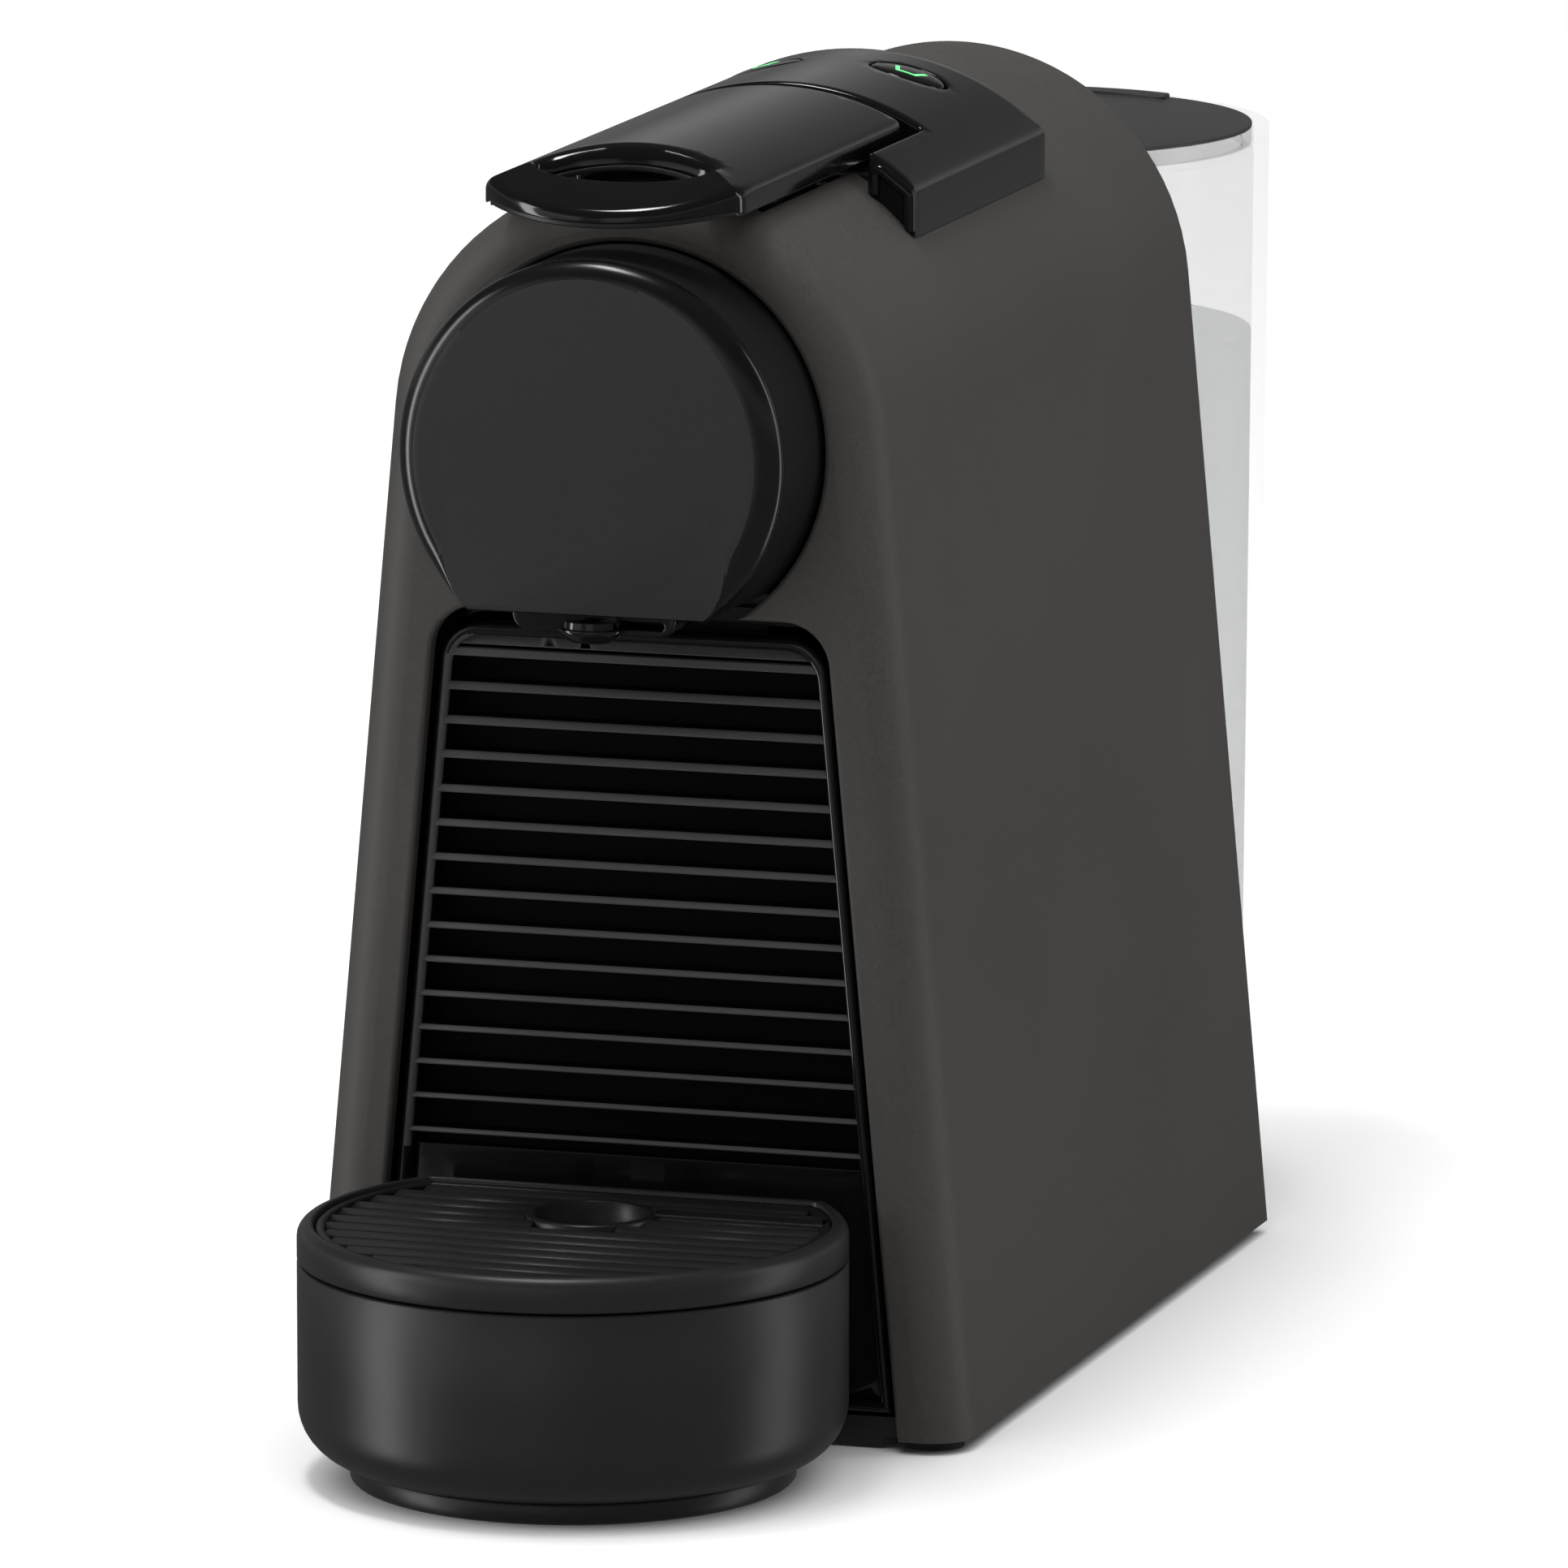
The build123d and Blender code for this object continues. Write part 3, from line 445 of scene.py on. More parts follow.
def fill(loops, spacing, creases=()):
    """Triangles between an outer loop and its holes, with a grid of inner points."""
    verts = [p for loop in loops for p in loop]
    edges, first = [], 0
    for loop in loops:
        edges += [(first + i, first + (i + 1) % len(loop)) for i in range(len(loop))]
        first += len(loop)
    for crease in creases:
        edges += [(len(verts) + i, len(verts) + i + 1) for i in range(len(crease) - 1)]
        verts += crease
    if spacing:
        border = list(verts)
        low = Vector((min(p.x for p in border), min(p.y for p in border)))
        high = Vector((max(p.x for p in border), max(p.y for p in border)))
        for i in range(1, int((high.x - low.x) / spacing) + 1):
            for j in range(1, int((high.y - low.y) / spacing) + 1):
                p = low + Vector((i * spacing, j * spacing))
                if not inside(p, loops[0]) or any(inside(p, hole) for hole in loops[1:]):
                    continue
                if min((p - q).length for q in border) > spacing * 0.45:
                    verts.append(p)
    points, _, faces = delaunay_2d_cdt(verts, edges, [], 0, 1e-6)[:3]
    kept = []
    for face in faces:
        middle = sum((points[i] for i in face), Vector((0, 0))) / len(face)
        if inside(middle, loops[0]) and not any(inside(middle, hole) for hole in loops[1:]):
            kept.append(face)
    return points, kept


def bridge(bm, a, b):
    """Faces between two closed rows of as many vertices."""
    for i in range(len(a)):
        j = (i + 1) % len(a)
        bm.faces.new((a[i], a[j], b[j], b[i]))


def rounded_plate(name, loops, top, bottom, to_space, radius=0.8, low_radius=0.3, spacing=2.0,
                  creases=(), sharp=None):
    """A plate between two height functions, with rounded edges.

    The outer loop runs anticlockwise and the holes clockwise, so that inset() moves both into the
    material. radius may be a function of a point, to change along an edge."""
    bm = bmesh.new()
    steps = 5
    sides = []
    for height, sign, given in ((top, -1, radius), (bottom, 1, low_radius)):
        inner, outer_rows = [], []
        for loop in loops:
            size = [given(p) if callable(given) else given for p in loop]
            rows = []
            for step in range(steps + 1):
                turn = pi / 2 * step / steps
                ring = inset(loop, [r * (1 - cos(turn)) for r in size])
                row = []
                for p, r in zip(ring, size):
                    level = height(p.x, p.y) + sign * r * (1 - sin(turn))
                    row.append(bm.verts.new(to_space(p.x, p.y, level)))
                rows.append(row)
            for a, b in zip(rows, rows[1:]):
                bridge(bm, a, b)
            inner.append(ring)
            outer_rows.append(rows[0])
        points, faces = fill(inner, spacing, creases if sign < 0 else ())
        made = [bm.verts.new(to_space(p.x, p.y, height(p.x, p.y))) for p in points]
        for face in faces:
            bm.faces.new([made[i] for i in face])
        sides.append(outer_rows)
    for upper, lower in zip(*sides):
        bridge(bm, upper, lower)
    return finish_mesh(name, bm, sharp)


def stacked(name, rings, closed=False, sharp=None):
    """A solid through a stack of equal-length rings, with flat ends or closed on itself."""
    bm = bmesh.new()
    rows = [[bm.verts.new(p) for p in ring] for ring in rings]
    for a, b in zip(rows, rows[1:]):
        bridge(bm, a, b)
    if closed:
        bridge(bm, rows[-1], rows[0])
    else:
        bm.faces.new(rows[0])
        bm.faces.new(rows[-1])
    return finish_mesh(name, bm, sharp)


def bars(name, sections, sharp=30):
    """Separate prisms along X in one mesh: each is (low x, high x, [(y, z), ...])."""
    bm = bmesh.new()
    for low, high, section in sections:
        ends = [[bm.verts.new(place(x, y, z)) for y, z in section] for x in (low, high)]
        bridge(bm, *ends)
        bm.faces.new(ends[0])
        bm.faces.new(ends[1])
    return finish_mesh(name, bm, sharp)


def bead(name, paths, radius, sides=10):
    """Round beads along open paths of points in x and z, at one y, in one mesh."""
    bm = bmesh.new()
    for y, path in paths:
        rows = []
        for i, here in enumerate(path):
            along = (path[min(i + 1, len(path) - 1)] - path[max(i - 1, 0)]).normalized()
            across = Vector((-along.y, along.x))
            row = []
            for k in range(sides):
                turn = 2 * pi * k / sides
                p = here + across * radius * cos(turn)
                row.append(bm.verts.new(place(p.x, y + radius * sin(turn), p.y)))
            rows.append(row)
        for a, b in zip(rows, rows[1:]):
            bridge(bm, a, b)
        bm.faces.new(rows[0])
        bm.faces.new(rows[-1])
    return finish_mesh(name, bm, 40)


def ease(value):
    value = min(1.0, max(0.0, value))
    return value * value * (3 - 2 * value)


def circle_height(x, radius):
    """Height of a cylinder about the arch's axis."""
    return ARCH_Z + sqrt(max(0.0, radius * radius - x * x))


def front_space(x, z, forward):
    """For plates drawn in x and z: their height runs towards the front."""
    return place(x, -forward, z)


# ---- lever ----
def bevel(y):
    return BEVEL_Z - BEVEL_SLOPE * (BEVEL_Y - y)


def lever_top(x, y):
    return min(circle_height(x, SKIN_RADIUS), bevel(y))


def lever_bottom(x, y):
    plate = circle_height(x, SKIN_RADIUS - PLATE_THICK)
    keel = BAR_BOTTOM + LINER_THICK + 0.05 + KEEL_RADIUS - sqrt(KEEL_RADIUS**2 - x * x)
    return plate + (min(keel, plate) - plate) * ease((-1.0 - y) / 5.0)


def lever_outline(margin=0.0):
    """Parallel sides and a bowed front with rounded corners, anticlockwise from the rear."""
    bow = LEVER_CORNER - LEVER_APEX
    radius = (LEVER_HALF**2 + bow**2) / (2 * bow)
    centre = LEVER_APEX + radius
    across = LEVER_HALF - LEVER_ROUND
    along = sqrt((radius - LEVER_ROUND) ** 2 - across**2)
    turn = degrees(atan2(along, across))
    corner = LEVER_ROUND - margin
    rear = LEVER_BACK - LEVER_BACK_ROUND
    side = LEVER_HALF - LEVER_BACK_ROUND
    back = LEVER_BACK_ROUND - margin
    outline = arc(side, rear, back, back, 0, 90, 5)
    outline += arc(-side, rear, back, back, 90, 180, 5)
    outline += arc(-across, centre - along, corner, corner, 180, 180 + turn, 7)
    outline += arc(0, centre, radius - margin, radius - margin, 180 + turn, 360 - turn, 44)[1:-1]
    outline += arc(across, centre - along, corner, corner, -turn, 0, 7)
    return resample(outline, 2.0)


def loop_hole(margin=0.0):
    hole = oval(0, LOOP_Y, LOOP_HALF_X - margin, LOOP_HALF_Y - margin, 72)
    return list(reversed(hole))


def lever_edge(p):
    """The roll round the back of the finger hole, and the softer outer edges."""
    if abs(p.x) < LOOP_HALF_X + 0.1 and abs(p.y - LOOP_Y) < LOOP_HALF_Y + 0.1:
        return 0.35 + (LOOP_ROLL - 0.35) * ease((p.y - LOOP_Y + 1.5) / 4.5)
    return 0.8 + 0.5 * ease((-2 - p.y) / 6)


def make_lever():
    creases = []
    for side in (-1, 1):
        edge = []
        for k in range(6):
            x = 15.9 + 0.7 * k
            drop = BEVEL_Z - circle_height(x, SKIN_RADIUS)
            edge.append(Vector((side * x, BEVEL_Y - drop / BEVEL_SLOPE)))
        creases.append(edge)
    plate = rounded_plate(
        "lever_plate_skin", [lever_outline(), loop_hole()], lever_top, lever_bottom, place,
        lever_edge, 0.35, 1.6, creases, 21,
    )
    add_piece("lever_plate_skin", plate, GLOSS, "lever", "gloss_black", "lever_plate")

    def liner_bottom(x, y):
        return lever_bottom(x, y) - LINER_THICK

    liner = rounded_plate(
        "lever_liner", [lever_outline(0.75), loop_hole(0.7)], lever_bottom, liner_bottom, place,
        0.1, 0.3, 3.0, (), 30,
    )
    add_piece("lever_liner", liner, SATIN, "lever", "satin_black")


# ---- control saddle and buttons ----
def upright(u):
    """0 where the saddle's walls point at the arch's axis, 1 where they stand upright."""
    return ease((abs(u) - 19.6) / 3.5)


def saddle_space(u, y, h):
    lean = (1 - upright(u)) * u / SKIN_RADIUS
    rise = upright(u) + (1 - upright(u)) * sqrt(1 - (u / SKIN_RADIUS) ** 2)
    return place(u + h * lean, y, circle_height(u, SKIN_RADIUS) + h * rise)


def saddle_bottom(u, y):
    full = circle_height(u, SHELL_RADIUS + 0.12) - circle_height(u, SKIN_RADIUS)
    if abs(u) < 19.5 and SADDLE_BAND + 2.2 < y < SADDLE_BACK - 2.2:
        return -PLATE_THICK
    return max(full, -7.6) if upright(u) else full


def saddle_edge(p):
    if abs(p.x) < 19.5 and BUTTON_Y - 6 < p.y < BUTTON_Y + 6:
        return 0.3
    return 0.9


def make_saddle():
    corners = [
        (SADDLE_HALF, SADDLE_BACK), (-SADDLE_HALF, SADDLE_BACK),
        (-SADDLE_HALF, SADDLE_FRONT), (-WING_INNER, SADDLE_FRONT), (-WING_INNER, SADDLE_BAND),
        (WING_INNER, SADDLE_BAND), (WING_INNER, SADDLE_FRONT), (SADDLE_HALF, SADDLE_FRONT),
    ]
    outline = resample(round_corners(corners, [1.2, 1.2, 0.5, 0.5, 0.8, 0.8, 0.5, 0.5]), 2.0)
    holes = [list(reversed(oval(side * BUTTON_X, BUTTON_Y, *BUTTON_HOLE))) for side in (-1, 1)]
    mesh = rounded_plate(
        "control_saddle_skin", [outline, *holes], lambda u, y: 0, saddle_bottom, saddle_space,
        saddle_edge, 0.1, 1.8, (), 30,
    )
    skin = add_piece("control_saddle_skin", mesh, GLOSS, "housing", "gloss_black", "control_saddle")
    second_material(skin, DEEP, lambda c, n: c.y < SADDLE_FRONT + 0.2 and n.y < -0.9)

    paths = []
    low, high = WING_INNER + BEAD, SADDLE_HALF - BEAD
    for side in (-1, 1):
        path = round_corners(
            [
                (side * low, circle_height(low, SHELL_RADIUS) + 0.5),
                (side * low, circle_height(low, SKIN_RADIUS - BEAD) - 0.2),
                (side * high, circle_height(high, SKIN_RADIUS - BEAD) - 0.2),
                (side * high, circle_height(high, SHELL_RADIUS) + 0.3),
            ],
            [0, 0.9, 1.1, 0],
        )
        paths.append((SADDLE_FRONT, path))
    frames = bead("saddle_wing_frames", paths, BEAD)
    add_piece("saddle_wing_frames", frames, GLOSS, "housing", "gloss_black")


def button_space(side):
    """Maps a button's own u, v and height above the saddle's surface to the machine."""
    tilt = side * asin(BUTTON_X / SKIN_RADIUS)

    def to_space(u, v, h):
        w = sqrt(SKIN_RADIUS**2 - u * u) + h
        x = u * cos(tilt) + w * sin(tilt)
        return place(x, BUTTON_Y + v, ARCH_Z - u * sin(tilt) + w * cos(tilt))

    return to_space


def cup_outline(size):
    """A plain open cup as one stroke of even width."""
    wall, foot, rim = 1.5 * size, -1.5 * size, 1.7 * size
    mouth = 2.5 * size
    path = [Vector(p) for p in ((-mouth, rim), (-wall, foot), (wall, foot), (mouth, rim))]
    half = 0.38
    normals = []
    for i in range(len(path)):
        along = (path[min(i + 1, 3)] - path[max(i - 1, 0)]).normalized()
        normals.append(Vector((-along.y, along.x)) * half * (1.12 if 0 < i < 3 else 1))
    upper = [p + n for p, n in zip(path, normals)]
    lower = [p - n for p, n in zip(path, normals)]
    return resample(lower + list(reversed(upper)), 0.6)


def make_buttons():
    profile = [
        (1.0, -3.3), (1.0, -0.45), (0.985, -0.22), (0.955, -0.06), (0.91, 0.02),
        (0.8, 0.1), (0.6, 0.18), (0.35, 0.24), (0.12, 0.26),
    ]
    for name, side, size in (("left", -1, 0.8), ("right", 1, 1.0)):
        to_space = button_space(side)
        rings = []
        for scale, h in profile:
            ring = oval(0, 0, BUTTON_HALF_X * scale, BUTTON_HALF_Y * scale, 56)
            rings.append([to_space(p.x, p.y, h) for p in ring])
        cap = stacked(f"button_{name}_dome", rings)
        body = f"button_{name}"
        add_piece(f"{body}_dome", cap, GLOSS, body, "gloss_black", f"{body}_cap")

        def glyph_top(u, v):
            return 0.3 - 0.26 * ((u / BUTTON_HALF_X) ** 2 + (v / BUTTON_HALF_Y) ** 2)

        glyph = rounded_plate(
            f"button_{name}_glyph", [cup_outline(size)], glyph_top,
            lambda u, v: glyph_top(u, v) - 0.3, to_space, 0.05, 0.02, 0,
        )
        add_piece(f"{body}_glyph", glyph, ICON, body, "icon_green", f"{body}_icon")


# ---- drum, spout ----
def d_outline(radius, centre, flat, count=110):
    """A circle cut by a level line below its centre, anticlockwise."""
    turn = degrees(asin((flat - centre) / radius))
    return resample(arc(0, centre, radius, radius, turn, 180 - turn, count), 1.6)


def make_drum():
    outline = d_outline(DRUM_RADIUS, DRUM_Z, DRUM_FLAT)
    reach = []
    for p in outline:
        grow = ease((p.y - DRUM_FLAT - 0.3) / 9)
        wide = 3.7 + 1.0 * ease(p.x / 20)
        reach.append(0.5 + wide * grow - 1.0 * ease((p.y - 172) / 18))
    rings = [[place(p.x, DRUM_BACK, p.y) for p in inset(outline, [0.25] * len(outline))]]
    rings.append([place(p.x, DRUM_BACK - 0.25, p.y) for p in outline])
    depth = DRUM_BACK - 0.4 - DRUM_FACE
    for step in range(13):
        turn = pi / 2 * step / 12
        ring = inset(outline, [r * (1 - cos(turn)) for r in reach])
        rings.append([place(p.x, DRUM_FACE + depth * (1 - sin(turn)), p.y) for p in ring])
    cap = stacked("drum_cap_face", rings)
    face = add_piece("drum_cap_face", cap, RING, "housing", "gloss_black", "drum_cap")
    second_material(face, FACE, lambda c, n: n.y < -0.985)


def make_spout():
    corners = [
        (-SPOUT_HALF, SPOUT_LOW), (SPOUT_HALF, SPOUT_LOW),
        (SPOUT_HALF, SPOUT_HIGH), (-SPOUT_HALF, SPOUT_HIGH),
    ]
    outline = round_corners(corners, [3.0, 3.0, 0.3, 0.3])
    slot = round_corners([(4.2, 132.5), (11.4, 132.5), (11.4, 133.5), (4.2, 133.5)], [0.4] * 4, 3)
    mesh = rounded_plate(
        "spout_plate_body", [resample(outline, 2.0), list(reversed(slot))],
        lambda x, z: 17.6, lambda x, z: 3.2, front_space, 0.5, 0.3, 0, (), 30,
    )
    add_piece("spout_plate_body", mesh, GLOSS, "housing", "satin_black", "spout_plate")

    rings = []
    for z, rx, ry in (
        (130.35, 1.9, 1.3), (130.35, 3.2, 2.2), (130.55, 3.6, 2.5), (131.1, 4.2, 3.0),
        (131.8, 4.9, 3.5), (132.2, 5.15, 3.65), (132.4, 5.1, 3.6), (132.6, 4.3, 3.1),
        (133.6, 4.2, 3.0), (133.6, 1.9, 1.3),
    ):
        rings.append([place(p.x, NOZZLE_Y + p.y, z) for p in oval(0, 0, rx, ry, 40)])
    boat = stacked("coffee_nozzle_boat", rings, True, 50)
    add_piece("coffee_nozzle_boat", boat, GLOSS, "housing", "satin_black", "coffee_nozzle")


# ---- louvre panel ----
def panel_half(z):
    return PANEL_HALF_115 + PANEL_SLOPE * (115 - z)


def panel_outline(gap, low, high, corner):
    points = [
        (-panel_half(low) + gap, low), (panel_half(low) - gap, low),
        (panel_half(high) - gap, high), (-panel_half(high) + gap, high),
    ]
    return resample(round_corners(points, [0.4, 0.4, corner, corner], 10), 3.0)


def make_louvre():
    opening = panel_outline(2.9, PANEL_LOW + 1.6, PANEL_HIGH - 2.0, 5.0)
    surround = rounded_plate(
        "panel_surround", [panel_outline(1.0, PANEL_LOW, PANEL_HIGH, 6.6), list(reversed(opening))],
        lambda x, z: -PANEL_FRONT, lambda x, z: -PANEL_FLOOR, front_space, 0.95, 0.2, 0, (), 25,
    )
    frame_piece = add_piece(
        "panel_surround", surround, GLOSS, "capsule_container", "gloss_black", "louvre_panel",
    )

    # The left inner bevel takes the lighter grey panel material and the right one stays black:
    # painted light on the side the lamps reach.
    def painted_lit_left_bevel(centre, normal):
        return centre.x < 0 and centre.z > 44 and normal.x > 0.15 and normal.y < -0.1

    second_material(frame_piece, PANEL, painted_lit_left_bevel)

    # The back plate behind the ribs is drawn near-black: painted shade in the grooves.
    back = rounded_plate(
        "panel_back", [panel_outline(1.3, PANEL_LOW + 0.3, PANEL_HIGH - 0.3, 6.3)],
        lambda x, z: 0.1 - PANEL_FLOOR, lambda x, z: -8.4, front_space, 0.3, 0.3, 0,
    )
    add_piece("panel_back", back, PAINTED_SHADE, "capsule_container", "satin_black", "louvre_panel")

    last_rib = RIB_TOP - (RIB_COUNT - 1) * RIB_PITCH
    lower = rounded_plate(
        "panel_lower", [panel_outline(2.95, PANEL_LOW + 1.8, last_rib - 2.4, 0.4)],
        lambda x, z: -4.6, lambda x, z: 0.1 - PANEL_FLOOR, front_space, 0.4, 0.2, 0, (), 30,
    )
    add_piece("panel_lower", lower, GLOSS, "capsule_container", "gloss_black", "louvre_panel")

    blades = []
    for row in range(RIB_COUNT):
        z = RIB_TOP - row * RIB_PITCH
        half = panel_half(z) - 2.2
        nose = 0.72 - 0.024 * row
        section = [
            (2.75, z - nose), (2.2, z - nose + 0.1), (2.1, z - nose + 0.3), (2.5, z + nose - 0.2),
            (2.9, z + nose), (6.35, z + nose), (6.35, z - nose),
        ]
        blades.append((-half, half, section))
    ribs = bars("panel_ribs", blades, 40)
    rib_piece = add_piece(
        "panel_ribs", ribs, PANEL, "capsule_container", "satin_black", "louvre_panel",
    )
    # The ribs' upper and lower faces, inside the grooves, take the near-black material: painted
    # shade.
    second_material(rib_piece, PAINTED_SHADE, lambda c, n: n.z < -0.5 or n.z > 0.9)

    sill_outline = [(-30.1, 125.1), (30.1, 125.1), (28.9, 127.9), (-28.9, 127.9)]
    sill = rounded_plate(
        "panel_sill", [resample(round_corners(sill_outline, [0.2, 0.2, 1.9, 1.9]), 2.0)],
        lambda x, z: -2.5 - 0.8 * (z - 125.0), lambda x, z: -PANEL_FLOOR, front_space,
        0.2, 0.2, 0, (), 30,
    )
    add_piece("panel_sill", sill, PANEL, "capsule_container", "satin_black", "louvre_panel")


# ---- tray and grid ----
def tray_ring(radius, gap, z):
    """The tray's outline at a height: a circle cut by its flat back."""
    turn = degrees(asin((TRAY_BACK - TRAY_Y) / TRAY_RADIUS))
    outline = arc(0, TRAY_Y, TRAY_RADIUS, TRAY_RADIUS, 180 - turn, 360 + turn, 120)
    outline = resample(outline, 2.2)
    margin = TRAY_RADIUS - radius
    ring = inset(outline, [margin + gap] * len(outline))
    return [place(p.x, p.y, z) for p in ring]


def make_tray():
    profile = [(8.6, 0.0), (8.15, 0.45), (8.15, 3.0), (8.35, 3.3), (8.7, 3.5)]
    for step in range(1, 11):
        turn = pi / 2 * step / 10
        profile.append((TRAY_FILLET * (1 - sin(turn)), 3.5 + TRAY_FILLET * (1 - cos(turn))))
    profile += [(0, 20), (0, 34.3), (0.3, 34.65), (2.2, 34.65), (2.4, 34.4), (2.4, 14)]
    for turn in (20, 45, 70, 90):
        profile.append((2.4 + 7 * (1 - cos(radians(turn))), 14 - 7.3 * sin(radians(turn))))
    rings = [tray_ring(TRAY_RADIUS, gap, z) for gap, z in profile]
    bowl = stacked("tray_bowl_body", rings, sharp=50)
    add_piece("tray_bowl_body", bowl, SATIN, "drip_tray", "satin_black", "tray_bowl")

    profile = [(0.9, RIM_BOTTOM), (0.3, RIM_BOTTOM), (0, RIM_BOTTOM + 0.3), (0, RIM_ROUND)]
    for turn in (15, 30, 45, 60, 75, 90):
        rise = radians(turn)
        profile.append((2.0 * (1 - cos(rise)), RIM_ROUND + 2.1 * sin(rise)))
    profile += [(2.4, 40.45), (2.6, 40.2), (2.6, 36.3), (4.4, 36.3), (4.4, RIM_BOTTOM)]
    rim = stacked("tray_rim_body", [tray_ring(TRAY_RADIUS, gap, z) for gap, z in profile], True, 50)
    add_piece("tray_rim_body", rim, SATIN, "drip_tray", "satin_black", "tray_rim")


def make_grid():
    profile = [
        (0, GRID_BOTTOM), (0, 39.7), (0.25, GRID_TOP), (1.2, GRID_TOP), (1.5, 39.7),
        (1.5, GRID_BOTTOM),
    ]
    edge = stacked("grid_edge", [tray_ring(GRID_RADIUS, gap, z) for gap, z in profile], True, 50)
    add_piece("grid_edge", edge, GRILLE, "drip_grid", "satin_black", "drip_grid")

    rows = []
    collar = CUP_HOLE_RADIUS + 1.0
    for row in range(SLAT_COUNT):
        back = TRAY_BACK - 4.0 - row * SLAT_PITCH
        front = back - SLAT_WIDTH
        reach = min(GRID_RADIUS**2 - (y - TRAY_Y) ** 2 for y in (front, back))
        if reach < 60:
            continue
        half = sqrt(reach) - 1.0
        section = [
            (front + 0.5, SLAT_BOTTOM), (front, 38.9), (front + 0.25, 39.25),
            (back - 0.3, 39.75), (back, 39.5), (back - 0.2, SLAT_BOTTOM),
        ]
        near = collar**2 - min(abs(y - CUP_HOLE_Y) for y in (front, back, (front + back) / 2)) ** 2
        if near > 0:
            rows += [(-half, -sqrt(near), section), (sqrt(near), half, section)]
        else:
            rows.append((-half, half, section))
    slats = bars("grid_slats", rows, 25)
    slat_piece = add_piece("grid_slats", slats, DEEP, "drip_grid", "satin_black", "drip_grid")
    # The slats' sides are near-black and only their upward faces take the satin black: painted
    # shade in the gaps between them.
    second_material(slat_piece, SATIN, lambda c, n: n.z > 0.6)

    corners = [(9.2, -17.6), (37.6, -17.6), (37.6, -13.6), (9.2, -13.6)]
    bar = rounded_plate(
        "grid_bar", [resample(round_corners(corners, [0.3] * 4, 3), 3)],
        lambda x, y: GRID_TOP, lambda x, y: 38.2, place, 0.35, 0.2, 0,
    )
    add_piece("grid_bar", bar, GRILLE, "drip_grid", "satin_black", "drip_grid")

    profile = [
        (1.5, SLAT_BOTTOM), (1.5, 39.6), (1.2, GRID_TOP), (0.5, 40.05), (0.1, 39.8),
        (-0.4, 37), (-1.6, 33.6), (-0.6, 33.6), (0.6, SLAT_BOTTOM),
    ]
    rings = []
    for wider, z in profile:
        radius = CUP_HOLE_RADIUS + wider
        rings.append([place(p.x, p.y, z) for p in oval(0, CUP_HOLE_Y, radius, radius, 72)])
    cup = stacked("grid_cup_ring", rings, True, 50)
    add_piece("grid_cup_ring", cup, GRILLE, "drip_grid", "satin_black", "drip_grid")


# ---- water and lid ----
def tank_outline(radius, front):
    """A circle cut flat where it faces the shell, anticlockwise."""
    turn = degrees(asin((TANK_Y - front) / radius))
    return arc(0, TANK_Y, radius, radius, -turn, 180 + turn, 90)


def tank_stack(name, profile, closed=False):
    """A solid with the tank's outline, from (radius, front, height) rows."""
    rings = []
    for radius, front, z in profile:
        rings.append([place(p.x, p.y, z) for p in tank_outline(radius, front)])
    return stacked(name, rings, closed, 40)


def make_water():
    profile = []
    low, high = WATER_BOTTOM, WATER_TOP
    for z, gap in ((low, 0.3), (low + 0.3, 0), (high - 0.3, 0), (high, 0.1)):
        part = (z - TANK_BOTTOM) / TANK_HEIGHT
        radius = TANK_FOOT_INNER + (TANK_INNER - TANK_FOOT_INNER) * part - gap
        profile.append((radius, TANK_FRONT + gap, z))
    add_piece("tank_water", tank_stack("tank_water", profile), WATER, "water_tank", "clear_tank")


def make_lid():
    plate = tank_stack("tank_lid_plate", [
        (39.6, 182.3, SKIRT_TOP), (LID_RADIUS, 181.9, 181.3), (LID_RADIUS, 181.9, 181.75),
        (39.9, 182.05, 181.87), (39.7, 182.2, LID_TOP),
    ])
    add_piece("tank_lid_plate", plate, LID, "tank_lid", "lid_grey", "tank_lid")
    lip_outer = arc(0, TANK_Y, 39.8, 39.8, 65, 115, 24)
    lip_inner = arc(0, TANK_Y, 36.5, 36.5, 117.5, 62.5, 24)
    lip = rounded_plate(
        "tank_lid_lip", [lip_outer + lip_inner], lambda x, y: 182.6, lambda x, y: 181.85, place,
        0.35, 0.05, 0,
    )
    add_piece("tank_lid_lip", lip, LID, "tank_lid", "lid_grey", "tank_lid")
    skirt = tank_stack("tank_lid_skirt", [
        (40.0, 181.95, SKIRT_BOTTOM), (40.0, 181.95, SKIRT_TOP),
        (38.4, 183.5, SKIRT_TOP), (38.4, 183.5, SKIRT_BOTTOM),
    ], True)
    add_piece("tank_lid_skirt", skirt, SMOKED, "tank_lid", "clear_tank", "tank_lid")


for make in (
    paint_nodes, make_lever, make_saddle, make_buttons, make_drum, make_spout, make_louvre,
    make_tray, make_grid, make_water, make_lid,
):
    make()


# ---- camera ----
# The camera's place is given from the middle of the shell's front face at table level.
AZIMUTH = radians(17.448)
ELEVATION = radians(10.39)
CAMERA_OFFSET = (0.69434, -2.12797, 0.51502)
LENS_MM = 333.49


def camera():
    data = bpy.data.cameras.new("camera")
    data.lens = LENS_MM
    data.sensor_width = 36.0
    data.clip_start = 0.1
    data.clip_end = 50.0
    obj = bpy.data.objects.new("camera", data)
    bpy.context.scene.collection.objects.link(obj)
    back = Vector((sin(AZIMUTH) * cos(ELEVATION), -cos(AZIMUTH) * cos(ELEVATION), sin(ELEVATION)))
    obj.rotation_euler = back.to_track_quat("Z", "Y").to_euler()
    obj.location = Vector(CAMERA_OFFSET) + Vector((0, FRONT, 0))
    bpy.context.scene.camera = obj


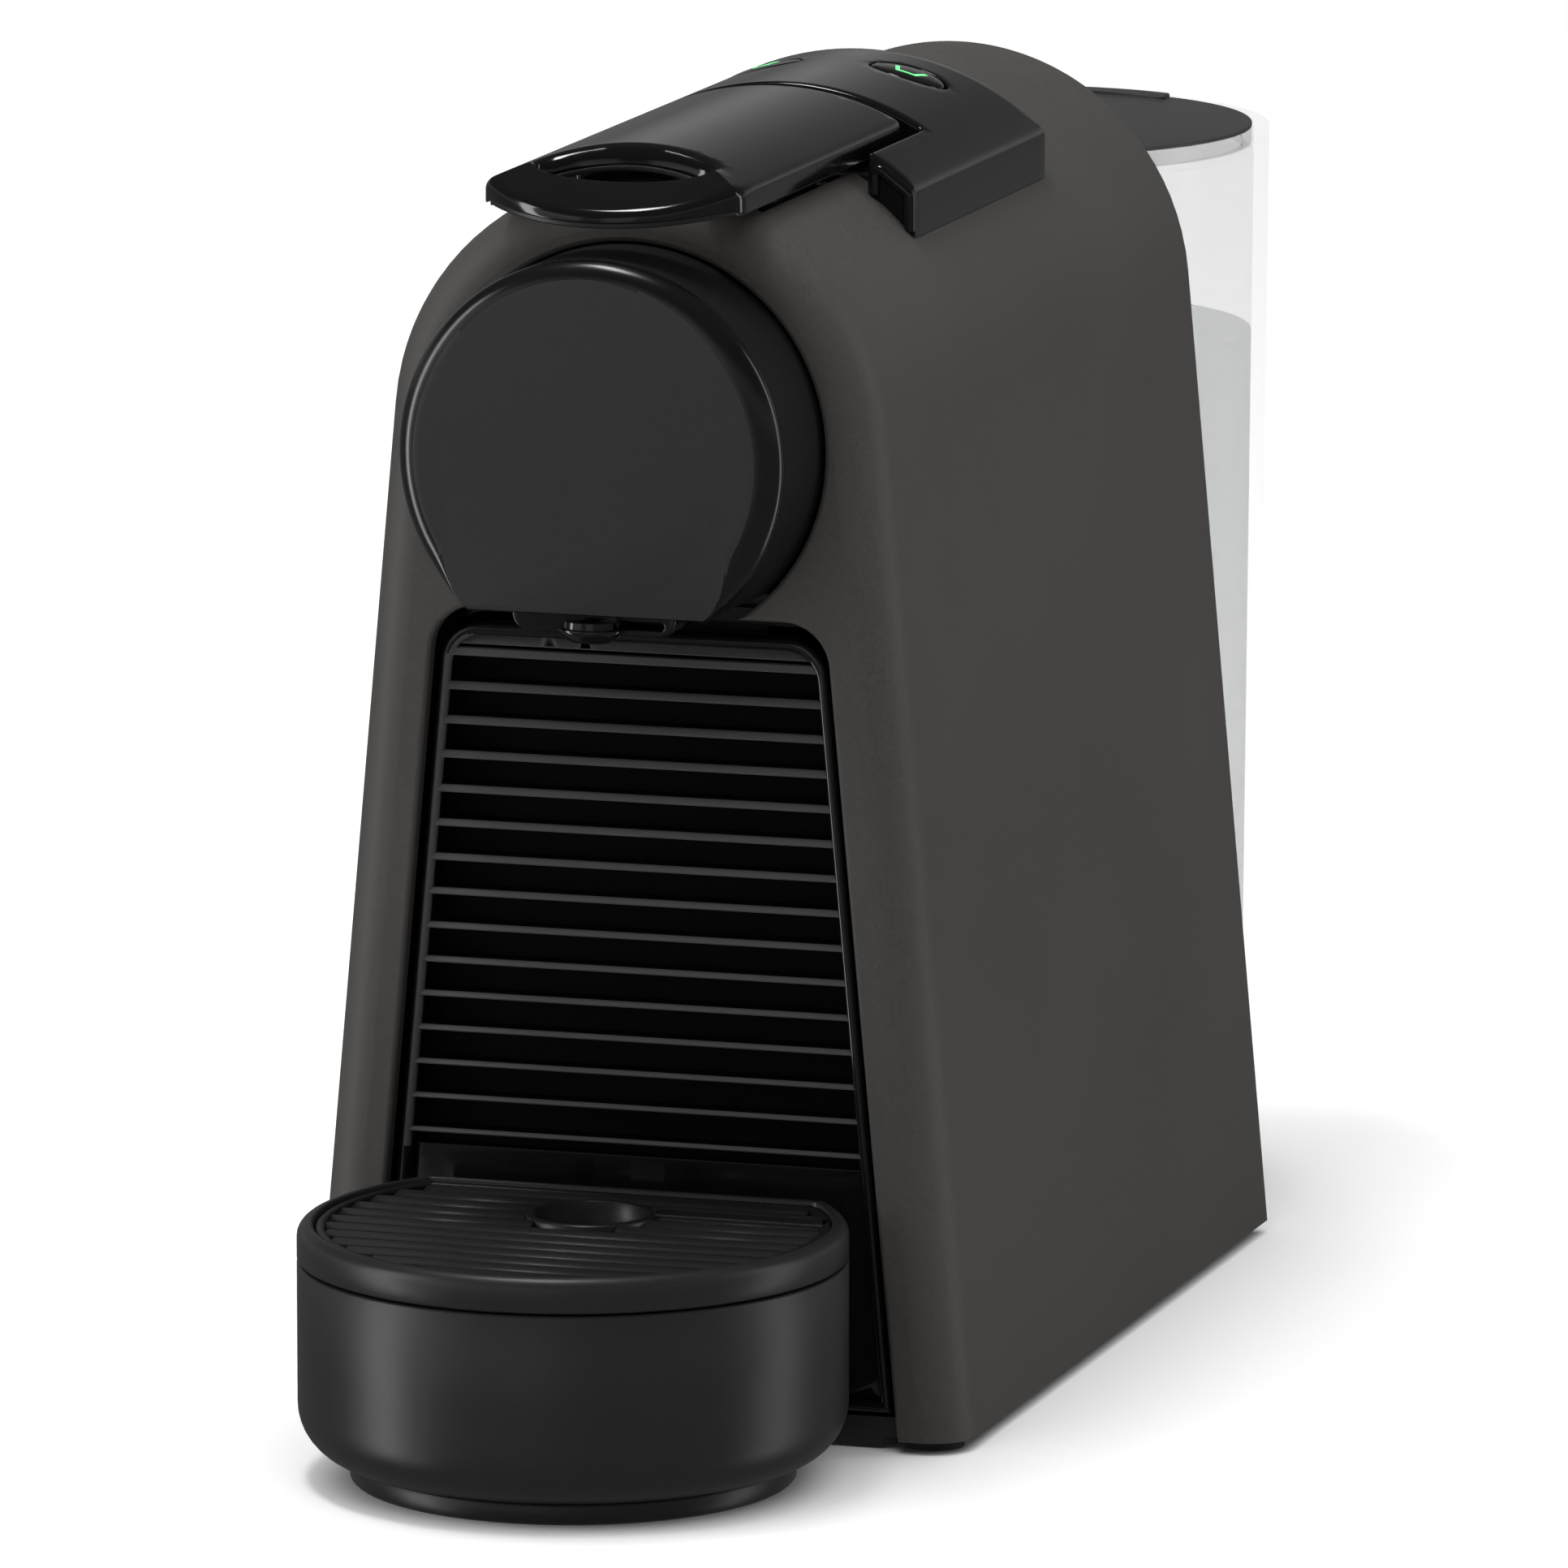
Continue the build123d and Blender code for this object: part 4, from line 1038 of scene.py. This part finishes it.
# ---- floor and light ----
def floor():
    size = 6.0
    mesh = bpy.data.meshes.new("floor")
    corners = [(-size, -size, 0), (size, -size, 0), (size, size, 0), (-size, size, 0)]
    mesh.from_pydata(corners, [], [(0, 1, 2, 3)])
    obj = bpy.data.objects.new("floor", mesh)
    bpy.context.scene.collection.objects.link(obj)
    mesh.materials.append(new_material("floor_paper", (0.93, 0.93, 0.93), 0.9)[0])
    obj.visible_glossy = False


def area_light(name, spot, target, size, radiance, mirrored=True):
    """A soft box; one that isn't mirrored lights the scene without showing in gloss."""
    data = bpy.data.lights.new(name, "AREA")
    data.shape = "RECTANGLE"
    data.size, data.size_y = size
    data.energy = radiance * pi * size[0] * size[1]
    obj = bpy.data.objects.new(name, data)
    bpy.context.scene.collection.objects.link(obj)
    obj.location = spot
    obj.rotation_euler = (Vector(spot) - Vector(target)).to_track_quat("Z", "Y").to_euler()
    obj.visible_glossy = mirrored


def studio():
    """A dim room under a broad ceiling light, with narrow soft boxes for the highlights."""
    world = bpy.data.worlds.new("studio")
    bpy.context.scene.world = world
    world.use_nodes = True
    tree = world.node_tree
    direction = tree.nodes.new("ShaderNodeTexCoord")
    parts = tree.nodes.new("ShaderNodeSeparateXYZ")
    tree.links.new(direction.outputs["Generated"], parts.inputs[0])
    sky = ramp(tree, parts.outputs["Z"], 0.14, 0.05, 0.05, 0.9)
    horizon = sky.color_ramp.elements.new(0.15)
    horizon.color = (0.36, 0.36, 0.36, 1)
    dusk = sky.color_ramp.elements.new(0.36)
    dusk.color = (0.05, 0.05, 0.05, 1)
    tree.links.new(sky.outputs["Color"], tree.nodes["Background"].inputs["Color"])
    middle = (0, 0, 0.1)
    area_light("ceiling", (0, 0, 4), (0, 0, 0), (9, 9), 1.7, False)
    area_light("top_box", (-0.2, -0.15, 1.5), middle, (0.5, 0.2), 22)
    area_light("left_strip", (-1.35, -0.7, 0.1), middle, (0.28, 2.0), 6.5)
    area_light("right_strip", (1.25, 0.4, 0.1), middle, (0.25, 2.0), 3)
    area_light("front_left", (-1.1, -1.3, 0.3), middle, (0.9, 1.2), 0.4)
    area_light("front_middle", (-0.05, -1.7, 0.3), middle, (0.6, 1.2), 0.3)


camera()
floor()
studio()
bpy.context.scene.view_settings.view_transform = "Standard"
